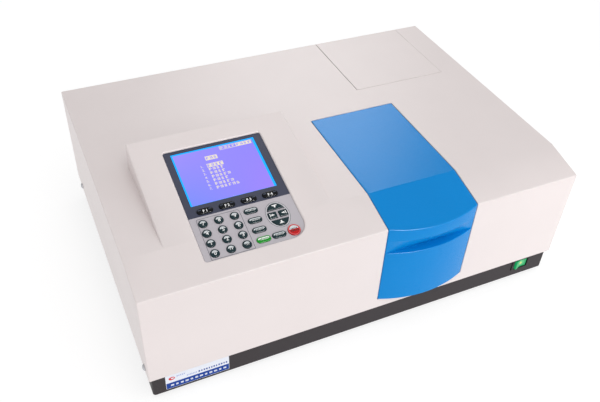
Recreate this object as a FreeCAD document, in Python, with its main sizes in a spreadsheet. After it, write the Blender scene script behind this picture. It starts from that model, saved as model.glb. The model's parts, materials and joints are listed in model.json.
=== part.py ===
"""A bench-top spectrophotometer, in millimetres.

A piece is drawn in the cabinet's frame: x from the left side, y from the front face
towards the back, z up from the lower edge of the base.  The pieces of the keypad and the
display are drawn in the console's frame instead: x from the left side, y up the sloping
front and z out of the slope.  A piece's placement moves it from there to the part's own
frame, whose origin is under the middle of the instrument, on the surface it stands on.
"""
import FreeCAD, Part
import math
import os
import re

import Sketcher

SIZES = {
    # cabinet
    "width": 650, "depth": 460, "front_height": 191.4, "slope_angle": 12.72,
    "crease_depth": 61.9, "wall": 3, "corner_radius": 1.8, "edge_radius": 1.5,
    "base_height": 38, "base_inset": 3.6, "base_lip": 54, "base_corner": 4,
    "foot_height": 8, "foot_radius": 14, "foot_taper": 2, "foot_inset": 46,
    "vent_left": 200, "vent_front": 380, "vent_rear": 430, "vent_width": 6, "vent_pitch": 12,
    "vent_count": 8,
    # raised console with its keypad and display
    "console_left": 51, "console_right": 281, "console_rear": 235.7,
    "panel_left": 93.6, "panel_right": 234.6, "panel_low": 28.8, "panel_high": 211.2,
    "panel_recess": 2, "panel_corner": 3, "panel_big_corner": 24, "panel_overlap": 6,
    "panel_plate": 2, "panel_gap": 0.3,
    "display_left": 102.9, "display_right": 223.2, "display_low": 114.8,
    "display_high": 205.8, "display_frame": 4, "display_thickness": 7,
    # keys
    "key_rise": 1.6, "key_gap": 0.3, "key_flange": 0.7, "key_flange_thickness": 1,
    "key_slack": 0.2, "key_stem": 1.4, "key_radius": 5.95, "stop_key_radius": 8.5,
    "pill_height": 8.7, "pill_width": 19.1, "menu_pill_width": 21.7,
    "arrow_half_width": 13.3, "arrow_half_height": 17.9, "arrow_gap": 3.2, "arrow_band": 9.7,
    "arrow_x": 206.2, "arrow_y": 69.9, "board_post": 2.5,
    "number_x": 109.2, "number_y": 84.7, "number_pitch_x": 21.2, "number_pitch_y": 15.5,
    "menu_x": 118.1, "menu_y": 103.7, "menu_pitch": 30.1,
    "pill_x": 174.4, "pill_y": 85.7, "pill_pitch": 15.6, "stop_key_x": 217, "stop_key_y": 40.5,
    "board_drop": 9, "board_thickness": 1.6,
    # lid of the sample compartment
    "lid_left": 335.7, "lid_right": 475.7, "lid_rear": 245, "lid_bottom": 55.4,
    "lid_bulge": 14, "lid_gap": 1, "lid_flange": 12, "lid_skirt": 12, "lid_edge": 1,
    "lid_shelf": 4,
    "groove_height": 147.5, "band_height": 170.5, "liner_thickness": 2, "liner_gap": 0.5,
    # lid hinge
    "hinge_back": 25, "hinge_drop": 14, "hinge_pin": 2.5, "hinge_play": 0.05,
    "hinge_eye": 5.5, "arm_thickness": 5, "arm_reach": 36, "arm_dip": 38,
    "arm_section": 7, "arm_inset": 22,
    # lamp cover
    "hatch_left": 443.4, "hatch_right": 604.7, "hatch_front": 299.2, "hatch_bottom": 140,
    "hatch_gap": 1, "hatch_flange": 8, "louvre_inset": 18, "louvre_low": 10,
    "louvre_height": 4, "louvre_pitch": 9, "louvre_count": 5,
    # power switch and label
    "switch_x": 599.5, "switch_z": 24.25, "bezel_width": 33, "bezel_height": 22.5,
    "bezel_rise": 1.5, "housing_width": 29, "housing_height": 20.5, "housing_depth": 22,
    "housing_gap": 0.2, "mouth_depth": 20, "mouth_gap_x": 1.4, "mouth_gap_z": 0.2,
    "rocker_width": 22, "rocker_height": 16.9, "rocker_tilt": 10, "rocker_pivot": 5,
    "rocker_rise": 7, "rocker_dip": 2.2, "rocker_back": 4.5, "rocker_tail": 3,
    "rocker_pin": 1.5, "rocker_pin_reach": 1.2, "rocker_shoulder": 1,
    "label_left": 21.7, "label_right": 110.5, "label_low": 4.9, "label_high": 33.6,
    "label_thickness": 0.4,
    # side screws
    "screw_height": 48.8, "screw_front": 17, "screw_rear": 412.5, "screw_radius": 2,
    "screw_head": 4.6, "screw_head_height": 3, "screw_length": 8, "screw_gap": 0.3,
    "screw_fit": 0.05,
    # rear panel
    "rear_left": 40, "rear_right": 400, "rear_low": 62, "rear_high": 178,
    "rear_overlap": 8, "plate": 2, "fan_x": 330, "fan_z": 120, "fan_side": 80,
    "fan_bore": 38, "fan_depth": 25, "fan_shaft": 2, "fan_shaft_length": 16,
    "spider_width": 5, "spider_depth": 3, "wire": 1, "guard": 82, "guard_bar": 2,
    "guard_bar_depth": 1.6, "hub_radius": 15, "hub_depth": 19, "hub_bore_depth": 13,
    "hub_gap": 4, "blade_radius": 36.5, "blade_pitch": 35, "blade_reach": 8,
    "blade_half_thickness": 0.8, "blade_middle": 9.5, "blade_root": 3, "blade_count": 7,
    "inlet_x": 84, "inlet_z": 104, "inlet_width": 27, "inlet_height": 20, "inlet_rim_x": 12,
    "inlet_rim_z": 5, "inlet_flange": 2, "inlet_back": 19.8, "inlet_wall": 2,
    "inlet_recess": 17, "inlet_pin_width": 2, "inlet_pin_height": 4, "inlet_pin_length": 14,
    "inlet_pin_x": 7, "inlet_pin_low": 1, "inlet_pin_high": 3, "inlet_gap": 0.2,
    "ports_x": 200, "ports_z": 104, "port_flange": 1, "port_rim_x": 3, "port_rim_z": 1.5,
    "port_back": 10.8, "port_wall": 1, "port_mouth": 5.5, "port_gap": 0.2,
    # optics
    "deck_low": 44, "deck_top": 52, "beam_height": 120, "chamber_wall": 3,
    "chamber_floor": 54.4, "chamber_front": 7.2, "chamber_rear": 208, "well_rear": 293, "well_drop": 57,
    "well_sill": 2, "beam_hole": 8, "rail_half_width": 8, "rail_front": 20, "rail_height": 3,
    "rail_gap": 0.4,
    "cell": 12.5, "cell_height": 45, "cell_pitch": 20, "cell_count": 4, "cell_first": 50,
    "cell_wall": 1.25, "cell_floor": 1.5, "cell_low": 105, "cell_gap": 0.25,
    "carriage_half_width": 20, "carriage_margin": 2, "carriage_window": 4, "cell_proud": 10,
    "pillar_radius": 8, "box_left": 296, "box_right": 440, "box_front": 306, "box_rear": 426,
    "box_top": 160, "box_wall": 3, "box_floor": 4, "slit_width": 6, "slit_height": 16,
    "turntable_x": 368, "turntable_y": 375, "turntable_radius": 34, "turntable_height": 6,
    "turntable_pin": 4, "turntable_pin_length": 12, "turntable_gap": 0.4,
    "grating": 30, "grating_thickness": 6, "stand_width": 34, "stand_thickness": 8,
    "stand_height": 60,
    "house_left": 452, "house_right": 597, "house_front": 308, "house_rear": 440,
    "house_top": 172, "house_wall": 2, "house_window": 14, "house_floor": 3,
    "beam_y": 375, "mirror_x": 485, "mirror_pin": 3, "mirror_pin_length": 14,
    "mirror_gap": 0.4, "mirror_post": 7, "mirror_post_length": 54, "mirror_side": 26,
    "mirror_thickness": 4, "mirror_radius": 20, "mirror_depth": 5, "mirror_stand_width": 24,
    "mirror_stand_thickness": 8, "mirror_stand_rise": 12,
    "wheel_radius": 30, "wheel_thickness": 3, "wheel_axle": 2, "wheel_offset": 20,
    "wheel_stand_off": 7, "wheel_axle_reach": 9, "filter_radius": 5, "filter_circle": 20,
    "filter_count": 6, "shaft_play": 0.04,
    "lamp_x": 550, "lamp_inset": 36, "lamp_base_height": 30,
    "arc_lamp_base": 20, "arc_lamp": 14, "arc_lamp_height": 70,
    "glow_lamp_base": 14, "glow_lamp": 7, "glow_lamp_height": 62,
    "detector_left": 290, "detector_right": 326, "detector_half_depth": 30,
    "detector_top": 156, "detector_window": 7, "detector_tube": 12,
    "detector_tube_length": 14,
    "board_left": 24, "board_right": 264, "board_front": 30, "board_rear": 230,
    "board_low": 15, "board_inset": 8, "board_post_radius": 4, "board_chip_height": 3.6,
    "supply_left": 26, "supply_right": 176, "supply_front": 300, "supply_rear": 440,
    "supply_top": 58, "supply_wall": 2, "core_x": 70, "core_y": 370, "core_width": 56,
    "core_depth": 66, "core_height": 50.5,
}

document = FreeCAD.newDocument("spectrophotometer")
sheet = document.addObject("Spreadsheet::Sheet", "Sizes")
for row, (word, number) in enumerate(SIZES.items(), start=1):
    sheet.set(f"A{row}", word)
    sheet.set(f"B{row}", str(number))
    sheet.setAlias(f"B{row}", word)
document.recompute()

pieces = []


# ---- expressions ------------------------------------------------------------------------

def spell(expression):
    """The expression with every driving dimension written as its cell of the sheet."""
    def cell(word):
        return f"Sizes.{word[0]}" if word[0] in SIZES else word[0]
    return re.sub(r"[a-z][a-z_]*", cell, str(expression))


def bind(item, name, expression):
    """Tie a property to an expression of the driving dimensions."""
    item.setExpression(name, spell(expression))


def value(expression):
    """The expression's present value."""
    return float(sheet.evalExpression(spell(expression)))


def slope_at(y):
    """Height of the sloping front's outer surface at a distance behind the front face."""
    return f"(front_height + ({y}) * tan(slope_angle))"


def inner_slope_at(y):
    """Height of the sloping front's inner surface."""
    return f"({slope_at(y)} - wall / cos(slope_angle))"


TOP = slope_at("crease_depth")
INNER_TOP = f"({TOP} - wall)"
INNER_CREASE = "(crease_depth + (wall / cos(slope_angle) - wall) / tan(slope_angle))"
MIDDLE_DEPTH = "((depth - lid_bulge) / 2)"
LID_MIDDLE = "((lid_left + lid_right) / 2)"
LID_ARC = "((((lid_right - lid_left) / 2) ^ 2 + lid_bulge ^ 2) / (2 * lid_bulge))"
HINGE_Y = "(lid_rear + lid_gap + hinge_back)"
HINGE_Z = f"({TOP} - hinge_drop)"
OPENING_X = ("lid_left - lid_gap", "lid_right + lid_gap")
CONSOLE_TURN = FreeCAD.Vector(1, 0, 0)


# ---- Part primitives and booleans -------------------------------------------------------

def primitive(kind, base, turn=None, **sizes):
    """A primitive whose base point and sizes are expressions."""
    solid = document.addObject("Part::" + kind, kind)
    if turn is not None:
        solid.Placement = FreeCAD.Placement(FreeCAD.Vector(), turn)
    for axis, expression in zip("xyz", base):
        bind(solid, "Placement.Base." + axis, expression)
    for name, expression in sizes.items():
        bind(solid, name, expression)
    return solid


def block(x, y, z):
    """A box between two limits along each axis."""
    span = [f"({high}) - ({low})" for low, high in (x, y, z)]
    return primitive("Box", (x[0], y[0], z[0]), Length=span[0], Width=span[1], Height=span[2])


def slab(centre, size):
    """A box of a given size about its centre."""
    return block(*[(f"{middle} - ({side}) / 2", f"{middle} + ({side}) / 2")
                   for middle, side in zip(centre, size)])


AXES = {
    "x": FreeCAD.Rotation(FreeCAD.Vector(0, 1, 0), 90),
    "y": FreeCAD.Rotation(FreeCAD.Vector(1, 0, 0), -90),
    "z": FreeCAD.Rotation(),
}


def rod(axis, base, radius, length):
    """A cylinder that starts at a point and runs along an axis."""
    return primitive("Cylinder", base, AXES[axis], Radius=radius, Height=length)


def cut(base, *tools):
    """A solid less its tools."""
    result = document.addObject("Part::Cut", "Cut")
    result.Base = base
    result.Tool = tools[0] if len(tools) == 1 else fuse(*tools)
    result.Refine = True
    return result


def fuse(*solids):
    """Several solids as one."""
    result = document.addObject("Part::MultiFuse", "Fusion")
    result.Shapes = list(solids)
    result.Refine = True
    return result


def common(*solids):
    """What several solids share."""
    result = document.addObject("Part::MultiCommon", "Common")
    result.Shapes = list(solids)
    return result


def group(*solids):
    """Separate solids kept as one piece."""
    result = document.addObject("Part::Compound", "Group")
    result.Links = list(solids)
    return result


# ---- PartDesign bodies ------------------------------------------------------------------

def new_body(name):
    """An empty body for sketched features."""
    return document.addObject("PartDesign::Body", name)


def sketch_on(body, plane, offset="0", tilted=False):
    """An empty sketch on one of the body's own origin planes, or on the slope."""
    sketch = body.newObject("Sketcher::SketchObject", "Sketch")
    support = [item for item in body.Origin.OriginFeatures if item.Role == plane + "_Plane"]
    sketch.AttachmentSupport = (support[0], [""])
    sketch.MapMode = "FlatFace"
    if tilted:
        turn = FreeCAD.Rotation(CONSOLE_TURN, value("slope_angle"))
        sketch.AttachmentOffset = FreeCAD.Placement(FreeCAD.Vector(), turn)
        bind(sketch, "AttachmentOffset.Rotation.Angle", "slope_angle")
    bind(sketch, "AttachmentOffset.Base.z", offset)
    return sketch


def hold_point(sketch, geometry, point, place):
    """Fix a point of the sketch at a pair of expressions."""
    for kind, expression in zip(("DistanceX", "DistanceY"), place):
        if expression is None:
            continue
        name = sketch.addConstraint(
            Sketcher.Constraint(kind, -1, 1, geometry, point, value(expression)))
        bind(sketch, f"Constraints[{name}]", expression)


def draw_outline(sketch, corners, arc_centre=None):
    """A closed outline through the corners; the last edge may be an arc about a centre."""
    points = [FreeCAD.Vector(value(x), value(y), 0) for x, y in corners]
    count = len(corners)
    for index in range(count):
        start, end = points[index], points[(index + 1) % count]
        if arc_centre is not None and index == count - 1:
            middle = FreeCAD.Vector(*[value(part) for part in arc_centre], 0)
            reach = middle.distanceToPoint(start)
            outward = ((start + end) / 2 - middle).normalize() * reach
            edge = Part.Arc(start, middle + outward, end)
        else:
            edge = Part.LineSegment(start, end)
        sketch.addGeometry(edge, False)
    ends = [(1, 2)] * count
    if arc_centre is not None:
        arc = sketch.Geometry[count - 1]
        if arc.StartPoint.distanceToPoint(points[-1]) > 1e-6:
            ends[-1] = (2, 1)
    for index in range(count):
        follower = (index + 1) % count
        sketch.addConstraint(Sketcher.Constraint(
            "Coincident", index, ends[index][1], follower, ends[follower][0]))
        hold_point(sketch, index, ends[index][0], corners[index])
    if arc_centre is not None:
        hold_point(sketch, count - 1, 3, (None, arc_centre[1]))
    return sketch


def rectangle(low, high):
    """The corners of a rectangle, from its low and high corner."""
    return [low, (high[0], low[1]), high, (low[0], high[1])]


def draw_circle(sketch, centre, radius):
    """A circle held at its centre."""
    place = FreeCAD.Vector(value(centre[0]), value(centre[1]), 0)
    index = sketch.addGeometry(
        Part.Circle(place, FreeCAD.Vector(0, 0, 1), value(radius)), False)
    hold_point(sketch, index, 3, centre)
    name = sketch.addConstraint(Sketcher.Constraint("Radius", index, value(radius)))
    bind(sketch, f"Constraints[{name}]", radius)


def pad(body, sketch, length, reverse=False):
    """Add material from a sketch, along its normal unless reversed."""
    feature = body.newObject("PartDesign::Pad", "Pad")
    feature.Profile = sketch
    feature.Reversed = reverse
    bind(feature, "Length", length)
    document.recompute()
    return feature


def pocket(body, sketch, length, reverse=False):
    """Take material away, against the sketch's normal unless reversed."""
    before = body.Shape.Volume
    feature = body.newObject("PartDesign::Pocket", "Pocket")
    feature.Profile = sketch
    feature.Reversed = reverse
    bind(feature, "Length", length)
    document.recompute()
    if body.Shape.Volume >= before:
        raise RuntimeError(f"a pocket of {body.Name} takes nothing away")
    return feature


def round_edges(body, radius, wanted):
    """Round the body's edges that a test picks, given an edge's middle and direction."""
    tip = body.Tip
    names = []
    for index, edge in enumerate(tip.Shape.Edges, start=1):
        if edge.Curve.TypeId != "Part::GeomLine":
            continue
        middle = edge.valueAt((edge.FirstParameter + edge.LastParameter) / 2)
        direction = edge.tangentAt(edge.FirstParameter)
        if wanted(middle, direction):
            names.append(f"Edge{index}")
    if not names:
        raise RuntimeError(f"no edge of {body.Name} to round")
    feature = body.newObject("PartDesign::Fillet", "Fillet")
    feature.Base = (tip, names)
    bind(feature, "Radius", radius)
    document.recompute()
    return feature


def is_upright(middle, direction):
    """Whether an edge runs straight up."""
    return abs(direction.z) > 0.99


# ---- finishing a piece ------------------------------------------------------------------

def publish(solid, label, sloped=False, turn=None, about=None):
    """Name a finished piece and move it from its drawing frame to the part's frame."""
    if solid.TypeId in ("Part::Box", "Part::Cylinder", "Part::Cone"):
        solid = group(solid)
    solid.Label = label
    offset = ["-width / 2", f"-{MIDDLE_DEPTH}", "foot_height"]
    if sloped:
        offset[2] += " + front_height"
        solid.Placement = FreeCAD.Placement(
            FreeCAD.Vector(), FreeCAD.Rotation(CONSOLE_TURN, value("slope_angle")))
        bind(solid, "Placement.Rotation.Angle", "slope_angle")
    if about is not None:
        solid.Placement = FreeCAD.Placement(FreeCAD.Vector(), turn)
        offset = [f"{part} + {place}" for part, place in zip(offset, about)]
    for axis, expression in zip("xyz", offset):
        bind(solid, "Placement.Base." + axis, expression)
    pieces.append(solid)
    return solid


# ---- casings ----------------------------------------------------------------------------

def make_top_shell():
    """The painted cover: flat top, sloping front, wedge-shaped console, openings."""
    body = new_body("TopShell")
    profile = [("0", "base_height"), ("0", "front_height"), ("crease_depth", TOP),
               ("depth", TOP), ("depth", "base_height")]
    pad(body, draw_outline(sketch_on(body, "YZ"), profile), "width")
    round_edges(body, "corner_radius", is_upright)

    def on_rim(middle, direction):
        across = abs(direction.x) > 0.99 and middle.z > value(TOP) - 20
        along = abs(direction.x) < 0.01 and abs(direction.z) < 0.5
        on_side = min(middle.x, value("width") - middle.x) < 0.01
        ridge = abs(middle.y - value("crease_depth")) < 0.01 and across
        return (across and not ridge) or (along and on_side and middle.z > value("base_height") + 1)
    round_edges(body, "edge_radius", on_rim)

    wedge = [("crease_depth", TOP), ("console_rear", slope_at("console_rear")),
             ("console_rear", INNER_TOP), ("crease_depth", INNER_TOP)]
    pad(body, draw_outline(sketch_on(body, "YZ", "console_left"), wedge),
        "console_right - console_left")

    hollow = [("wall", "base_height - 1"), ("wall", inner_slope_at("wall")),
              (INNER_CREASE, INNER_TOP), ("depth - wall", INNER_TOP),
              ("depth - wall", "base_height - 1")]
    pocket(body, draw_outline(sketch_on(body, "YZ", "wall"), hollow),
           "width - 2 * wall", reverse=True)
    wedge_hollow = [(INNER_CREASE, INNER_TOP),
                    ("console_rear - wall", inner_slope_at("console_rear - wall")),
                    ("console_rear - wall", f"{INNER_TOP} - 1"),
                    (INNER_CREASE, f"{INNER_TOP} - 1")]
    pocket(body, draw_outline(sketch_on(body, "YZ", "console_left + wall"), wedge_hollow),
           "console_right - console_left - 2 * wall", reverse=True)

    lid_opening = rectangle((OPENING_X[0], "-1"), (OPENING_X[1], "lid_rear + lid_gap"))
    pocket(body, draw_outline(sketch_on(body, "XY", "lid_bottom - lid_gap"), lid_opening),
           "width", reverse=True)
    hatch = rectangle(("hatch_left - hatch_gap", "hatch_front - hatch_gap"),
                      ("hatch_right + hatch_gap", "depth + 1"))
    pocket(body, draw_outline(sketch_on(body, "XY", "hatch_bottom - hatch_gap"), hatch),
           "width", reverse=True)

    window = rectangle(("panel_left", "panel_low"), ("panel_right", "panel_high"))
    sketch = sketch_on(body, "XY", tilted=True)
    bind(sketch, "AttachmentOffset.Base.z", "front_height")
    pocket(body, draw_outline(sketch, window), "3 * wall")
    lean = FreeCAD.Vector(0, -math.sin(math.radians(value("slope_angle"))),
                          math.cos(math.radians(value("slope_angle"))))

    def window_corner(big):
        def test(middle, direction):
            if abs(direction.dot(lean)) < 0.999:
                return False
            right = abs(middle.x - value("panel_right")) < 0.1
            left = abs(middle.x - value("panel_left")) < 0.1
            low = middle.y < value("panel_high") / 2
            return (right and low) if big else (left or (right and not low))
        return test
    round_edges(body, "panel_big_corner", window_corner(True))
    round_edges(body, "panel_corner", window_corner(False))

    back = rectangle(("rear_left", "rear_low"), ("rear_right", "rear_high"))
    pocket(body, draw_outline(sketch_on(body, "XZ", "-depth"), back), "2 * wall", reverse=True)
    holes = sketch_on(body, "YZ", "-1")
    for y in ("screw_front", "screw_rear"):
        draw_circle(holes, (y, "screw_height"), "screw_radius + screw_gap")
    pocket(body, holes, "width + 2", reverse=True)
    return publish(body, "top_shell")


def make_base_pan():
    """The black tray that the cover sits on, with its lip inside the cover."""
    body = new_body("BasePan")
    low, high = ("base_inset", "base_inset"), ("width - base_inset", "depth - base_inset")
    pad(body, draw_outline(sketch_on(body, "XY"), rectangle(low, high)), "base_lip")
    round_edges(body, "base_corner", is_upright)
    inside = rectangle([f"{place} + wall" for place in low], [f"{place} - wall" for place in high])
    pocket(body, draw_outline(sketch_on(body, "XY", "wall"), inside), "base_lip", reverse=True)
    half = ("(housing_width / 2 + housing_gap)", "(housing_height / 2 + housing_gap)")
    switch = rectangle((f"switch_x - {half[0]}", f"switch_z - {half[1]}"),
                       (f"switch_x + {half[0]}", f"switch_z + {half[1]}"))
    pocket(body, draw_outline(sketch_on(body, "XZ"), switch), "base_inset + 2 * wall")
    holes = sketch_on(body, "YZ")
    for y in ("screw_front", "screw_rear"):
        draw_circle(holes, (y, "screw_height"), "screw_radius + screw_fit")
    pocket(body, holes, "width", reverse=True)
    vent = rectangle(("vent_left", "vent_front"), ("vent_left + vent_width", "vent_rear"))
    first = pocket(body, draw_outline(sketch_on(body, "XY", "wall"), vent), "2 * wall")
    row_of_vents = body.newObject("PartDesign::LinearPattern", "Vents")
    row_of_vents.Originals = [first]
    row_of_vents.Direction = (first.Profile[0], ["H_Axis"])
    bind(row_of_vents, "Length", "vent_pitch * (vent_count - 1)")
    bind(row_of_vents, "Occurrences", "vent_count")
    body.Tip = row_of_vents
    document.recompute()
    return publish(body, "base_pan")


def make_feet():
    """Four rubber feet under the corners of the base."""
    feet = [primitive("Cone", (x, y, "-foot_height"), Radius1="foot_radius - foot_taper",
                      Radius2="foot_radius", Height="foot_height")
            for x in ("foot_inset", "width - foot_inset")
            for y in ("foot_inset", "depth - foot_inset")]
    return publish(group(*feet), "feet")


def make_side_screws():
    """Pan-head screws that hold the cover to the base, two on each side."""
    screws = []
    for y in ("screw_front", "screw_rear"):
        for head, shank in (("-screw_head_height", "0"), ("width", "width - screw_length")):
            screws.append(fuse(
                rod("x", (head, y, "screw_height"), "screw_head", "screw_head_height"),
                rod("x", (shank, y, "screw_height"), "screw_radius", "screw_length")))
    return publish(group(*screws), "side_screws")


def make_name_label():
    """The plain two-tone label on the front of the base."""
    return publish(block(("label_left", "label_right"),
                         ("base_inset - label_thickness", "base_inset"),
                         ("label_low", "label_high")), "name_label")


# ---- rear panel -------------------------------------------------------------------------

PANEL_FACE = "(depth - wall)"
PORTS = {"serial": ("ports_x", "30", "12"), "printer": ("ports_x + 60", "52", "14"),
         "network": ("ports_x - 44", "16", "14")}


def make_rear_panel():
    """The sheet-metal plate behind the opening in the cover's back."""
    plate = block(("rear_left - rear_overlap", "rear_right + rear_overlap"),
                  (f"{PANEL_FACE} - plate", PANEL_FACE),
                  ("rear_low - rear_overlap", "rear_high + rear_overlap"))
    thickness = f"{PANEL_FACE} - plate / 2"
    holes = [rod("y", ("fan_x", f"{PANEL_FACE} - 2 * plate", "fan_z"), "fan_bore", "4 * plate"),
             slab(("inlet_x", thickness, "inlet_z"),
                  ("inlet_width + 2 * inlet_gap", "3 * plate", "inlet_height + 2 * inlet_gap"))]
    for x, width, height in PORTS.values():
        holes.append(slab((x, thickness, "ports_z"),
                          (f"{width} - 2 * (port_rim_x - port_gap)", "3 * plate",
                           f"{height} - 2 * (port_rim_z - port_gap)")))
    return publish(cut(plate, *holes), "rear_panel")


def make_power_inlet():
    """The three-pin inlet with its recess."""
    flange = slab(("inlet_x", f"{PANEL_FACE} + inlet_flange / 2", "inlet_z"),
                  ("inlet_width + inlet_rim_x", "inlet_flange", "inlet_height + inlet_rim_z"))
    back = slab(("inlet_x", f"{PANEL_FACE} - inlet_back / 2", "inlet_z"),
                ("inlet_width", "inlet_back", "inlet_height"))
    recess = slab(("inlet_x", f"{PANEL_FACE} + wall - inlet_recess / 2 - wall / 2", "inlet_z"),
                  ("inlet_width - 2 * inlet_wall", "inlet_recess + wall",
                   "inlet_height - 2 * inlet_wall"))
    pins = [slab((f"inlet_x + {x}", f"{PANEL_FACE} - inlet_back + 1.8 + inlet_pin_length / 2",
                  f"inlet_z + {z}"), ("inlet_pin_width", "inlet_pin_length", "inlet_pin_height"))
            for x, z in (("-inlet_pin_x", "-inlet_pin_low"), ("0", "inlet_pin_high"),
                         ("inlet_pin_x", "-inlet_pin_low"))]
    return publish(fuse(cut(fuse(flange, back), recess), *pins), "power_inlet")


def make_data_ports():
    """Metal connector shells for a computer and a printer."""
    shells = []
    for x, width, height in PORTS.values():
        flange = slab((x, f"{PANEL_FACE} + port_flange / 2", "ports_z"),
                      (width, "port_flange", height))
        inner_width, inner_height = f"({width} - 2 * port_rim_x)", f"({height} - 2 * port_rim_z)"
        shell = slab((x, f"{PANEL_FACE} + wall - 0.2 - (port_back + wall - 0.2) / 2", "ports_z"),
                     (inner_width, "port_back + wall - 0.2", inner_height))
        mouth = slab((x, f"{PANEL_FACE} + wall + 0.5 - (port_mouth + wall + 0.5) / 2", "ports_z"),
                     (f"{inner_width} - 2 * port_wall", "port_mouth + wall + 0.5",
                      f"{inner_height} - 2 * port_wall"))
        shells.append(cut(fuse(flange, shell), mouth))
    return publish(group(*shells), "data_ports")


FAN_BACK = f"({PANEL_FACE} - plate)"
FAN_FRONT = f"({FAN_BACK} - fan_depth)"


def make_fan_frame():
    """The square frame of the cooling fan, its hub mount and its wire guard."""
    frame = cut(slab(("fan_x", f"{FAN_BACK} - fan_depth / 2", "fan_z"),
                     ("fan_side", "fan_depth", "fan_side")),
                rod("y", ("fan_x", f"{FAN_FRONT} - 1", "fan_z"), "fan_bore", "fan_depth + 2"))
    arm = ("2 * fan_bore + 2", "spider_depth", "spider_width")
    spider = [rod("y", ("fan_x", FAN_FRONT, "fan_z"), "hub_radius", "spider_depth"),
              rod("y", ("fan_x", FAN_FRONT, "fan_z"), "fan_shaft", "fan_shaft_length")]
    spider += [slab(("fan_x", f"{FAN_FRONT} + spider_depth / 2", "fan_z"), size)
               for size in (arm, arm[::-1])]
    guard_y = f"{PANEL_FACE} + wire"
    wires = [primitive("Torus", ("fan_x", guard_y, "fan_z"), AXES["y"],
                       Radius1=f"guard / 2 - wire - {inset}", Radius2="wire")
             for inset in ("28", "18", "8", "0")]
    bar = ("guard", "guard_bar_depth", "guard_bar")
    bars = [slab(("fan_x", guard_y, "fan_z"), size) for size in (bar, bar[::-1])]
    return publish(group(fuse(frame, *spider), fuse(*wires, *bars)), "fan_frame")


def make_fan_rotor():
    """The fan's hub and its pitched blades, drawn about the fan's own axis."""
    body = new_body("FanRotor")
    hub = sketch_on(body, "XZ")
    draw_circle(hub, ("0", "0"), "hub_radius")
    pad(body, hub, "hub_depth", reverse=True)
    along, across = ("blade_reach * cos(blade_pitch)", "blade_reach * sin(blade_pitch)")
    thick_y, thick_z = ("blade_half_thickness * sin(blade_pitch)",
                        "blade_half_thickness * cos(blade_pitch)")
    profile = [(f"blade_middle - {along} + {thick_y}", f"-{across} - {thick_z}"),
               (f"blade_middle + {along} + {thick_y}", f"{across} - {thick_z}"),
               (f"blade_middle + {along} - {thick_y}", f"{across} + {thick_z}"),
               (f"blade_middle - {along} - {thick_y}", f"-{across} + {thick_z}")]
    blade = pad(body, draw_outline(sketch_on(body, "YZ", "hub_radius - blade_root"), profile),
                "blade_radius - hub_radius + blade_root")
    ring = body.newObject("PartDesign::PolarPattern", "Blades")
    ring.Originals = [blade]
    ring.Axis = ([item for item in body.Origin.OriginFeatures if item.Role == "Y_Axis"][0], [""])
    ring.Angle = 360
    bind(ring, "Occurrences", "blade_count")
    body.Tip = ring
    document.recompute()
    bore = sketch_on(body, "XZ")
    draw_circle(bore, ("0", "0"), "fan_shaft + shaft_play")
    pocket(body, bore, "hub_bore_depth")
    return publish(body, "fan_rotor", turn=FreeCAD.Rotation(),
                   about=("fan_x", f"{FAN_FRONT} + hub_gap", "fan_z"))


# ---- console ----------------------------------------------------------------------------

PANEL_DEPTH = "(wall + panel_plate)"
CAP_TOP = "(key_rise - panel_recess)"
FLANGE_TOP = f"(-{PANEL_DEPTH} - key_slack)"
FLANGE_LOW = f"({FLANGE_TOP} - key_flange_thickness)"


def slot_prism(x, y, width, height, low, high, grow="0"):
    """An upright prism with round ends, grown all round by a margin."""
    radius = f"({height}) / 2 + ({grow})"
    reach = f"(({width}) - ({height})) / 2"
    return fuse(
        block((f"{x} - {reach}", f"{x} + {reach}"), (f"{y} - ({radius})", f"{y} + ({radius})"),
              (low, high)),
        *[rod("z", (f"{x} {sign} {reach}", y, low), radius, f"({high}) - ({low})")
          for sign in "+-"])


def round_prism(x, y, radius, low, high, grow="0"):
    """An upright round prism, grown all round by a margin."""
    return rod("z", (x, y, low), f"{radius} + ({grow})", f"({high}) - ({low})")


def arrow_prism(side, low, high, grow="0"):
    """One of the four pieces that an oval cursor pad is divided into."""
    gap, band, wide, tall = "arrow_gap", "arrow_band / 2", "arrow_half_width", "arrow_half_height"
    spans = {
        "up": ((f"-{wide}", wide), (f"{band} + {gap}", tall)),
        "down": ((f"-{wide}", wide), (f"-{tall}", f"-{band} - {gap}")),
        "left": ((f"-{wide}", f"-{gap} / 2"), (f"-{band}", band)),
        "right": ((f"{gap} / 2", wide), (f"-{band}", band)),
    }
    x, y = spans[side]
    cell = block((f"arrow_x + {x[0]} - ({grow})", f"arrow_x + {x[1]} + ({grow})"),
                 (f"arrow_y + {y[0]} - ({grow})", f"arrow_y + {y[1]} + ({grow})"), (low, high))
    rim = primitive("Ellipse", ("arrow_x", "arrow_y", low), FreeCAD.Rotation(FreeCAD.Vector(0, 0, 1), 90),
                    MajorRadius=f"{tall} + ({grow})", MinorRadius=f"{wide} + ({grow})")
    oval = document.addObject("Part::Extrusion", "Oval")
    oval.Base = rim
    oval.DirMode = "Custom"
    oval.Dir = FreeCAD.Vector(0, 0, 1)
    oval.Solid = True
    bind(oval, "LengthFwd", f"({high}) - ({low})")
    return common(cell, oval)


NUMBER_COLUMNS = ("number_x", "number_x + number_pitch_x", "number_x + 2 * number_pitch_x")
NUMBER_ROWS = [f"number_y - {row} * number_pitch_y" for row in range(4)]
NUMBER_NAMES = (("7", "8", "9"), ("4", "5", "6"), ("1", "2", "3"), ("0", "point", "clear"))
MENU_NAMES = ("f1", "f2", "f3", "f4")
PILLS = {"start": ("pill_x", "pill_y"), "goto": ("pill_x", "pill_y - pill_pitch"),
         "print": ("pill_x", "pill_y - 2 * pill_pitch"), "enter": ("pill_x", "pill_y - 3 * pill_pitch"),
         "return": ("pill_x + 21.4", "pill_y - 3 * pill_pitch + 0.5")}


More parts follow.
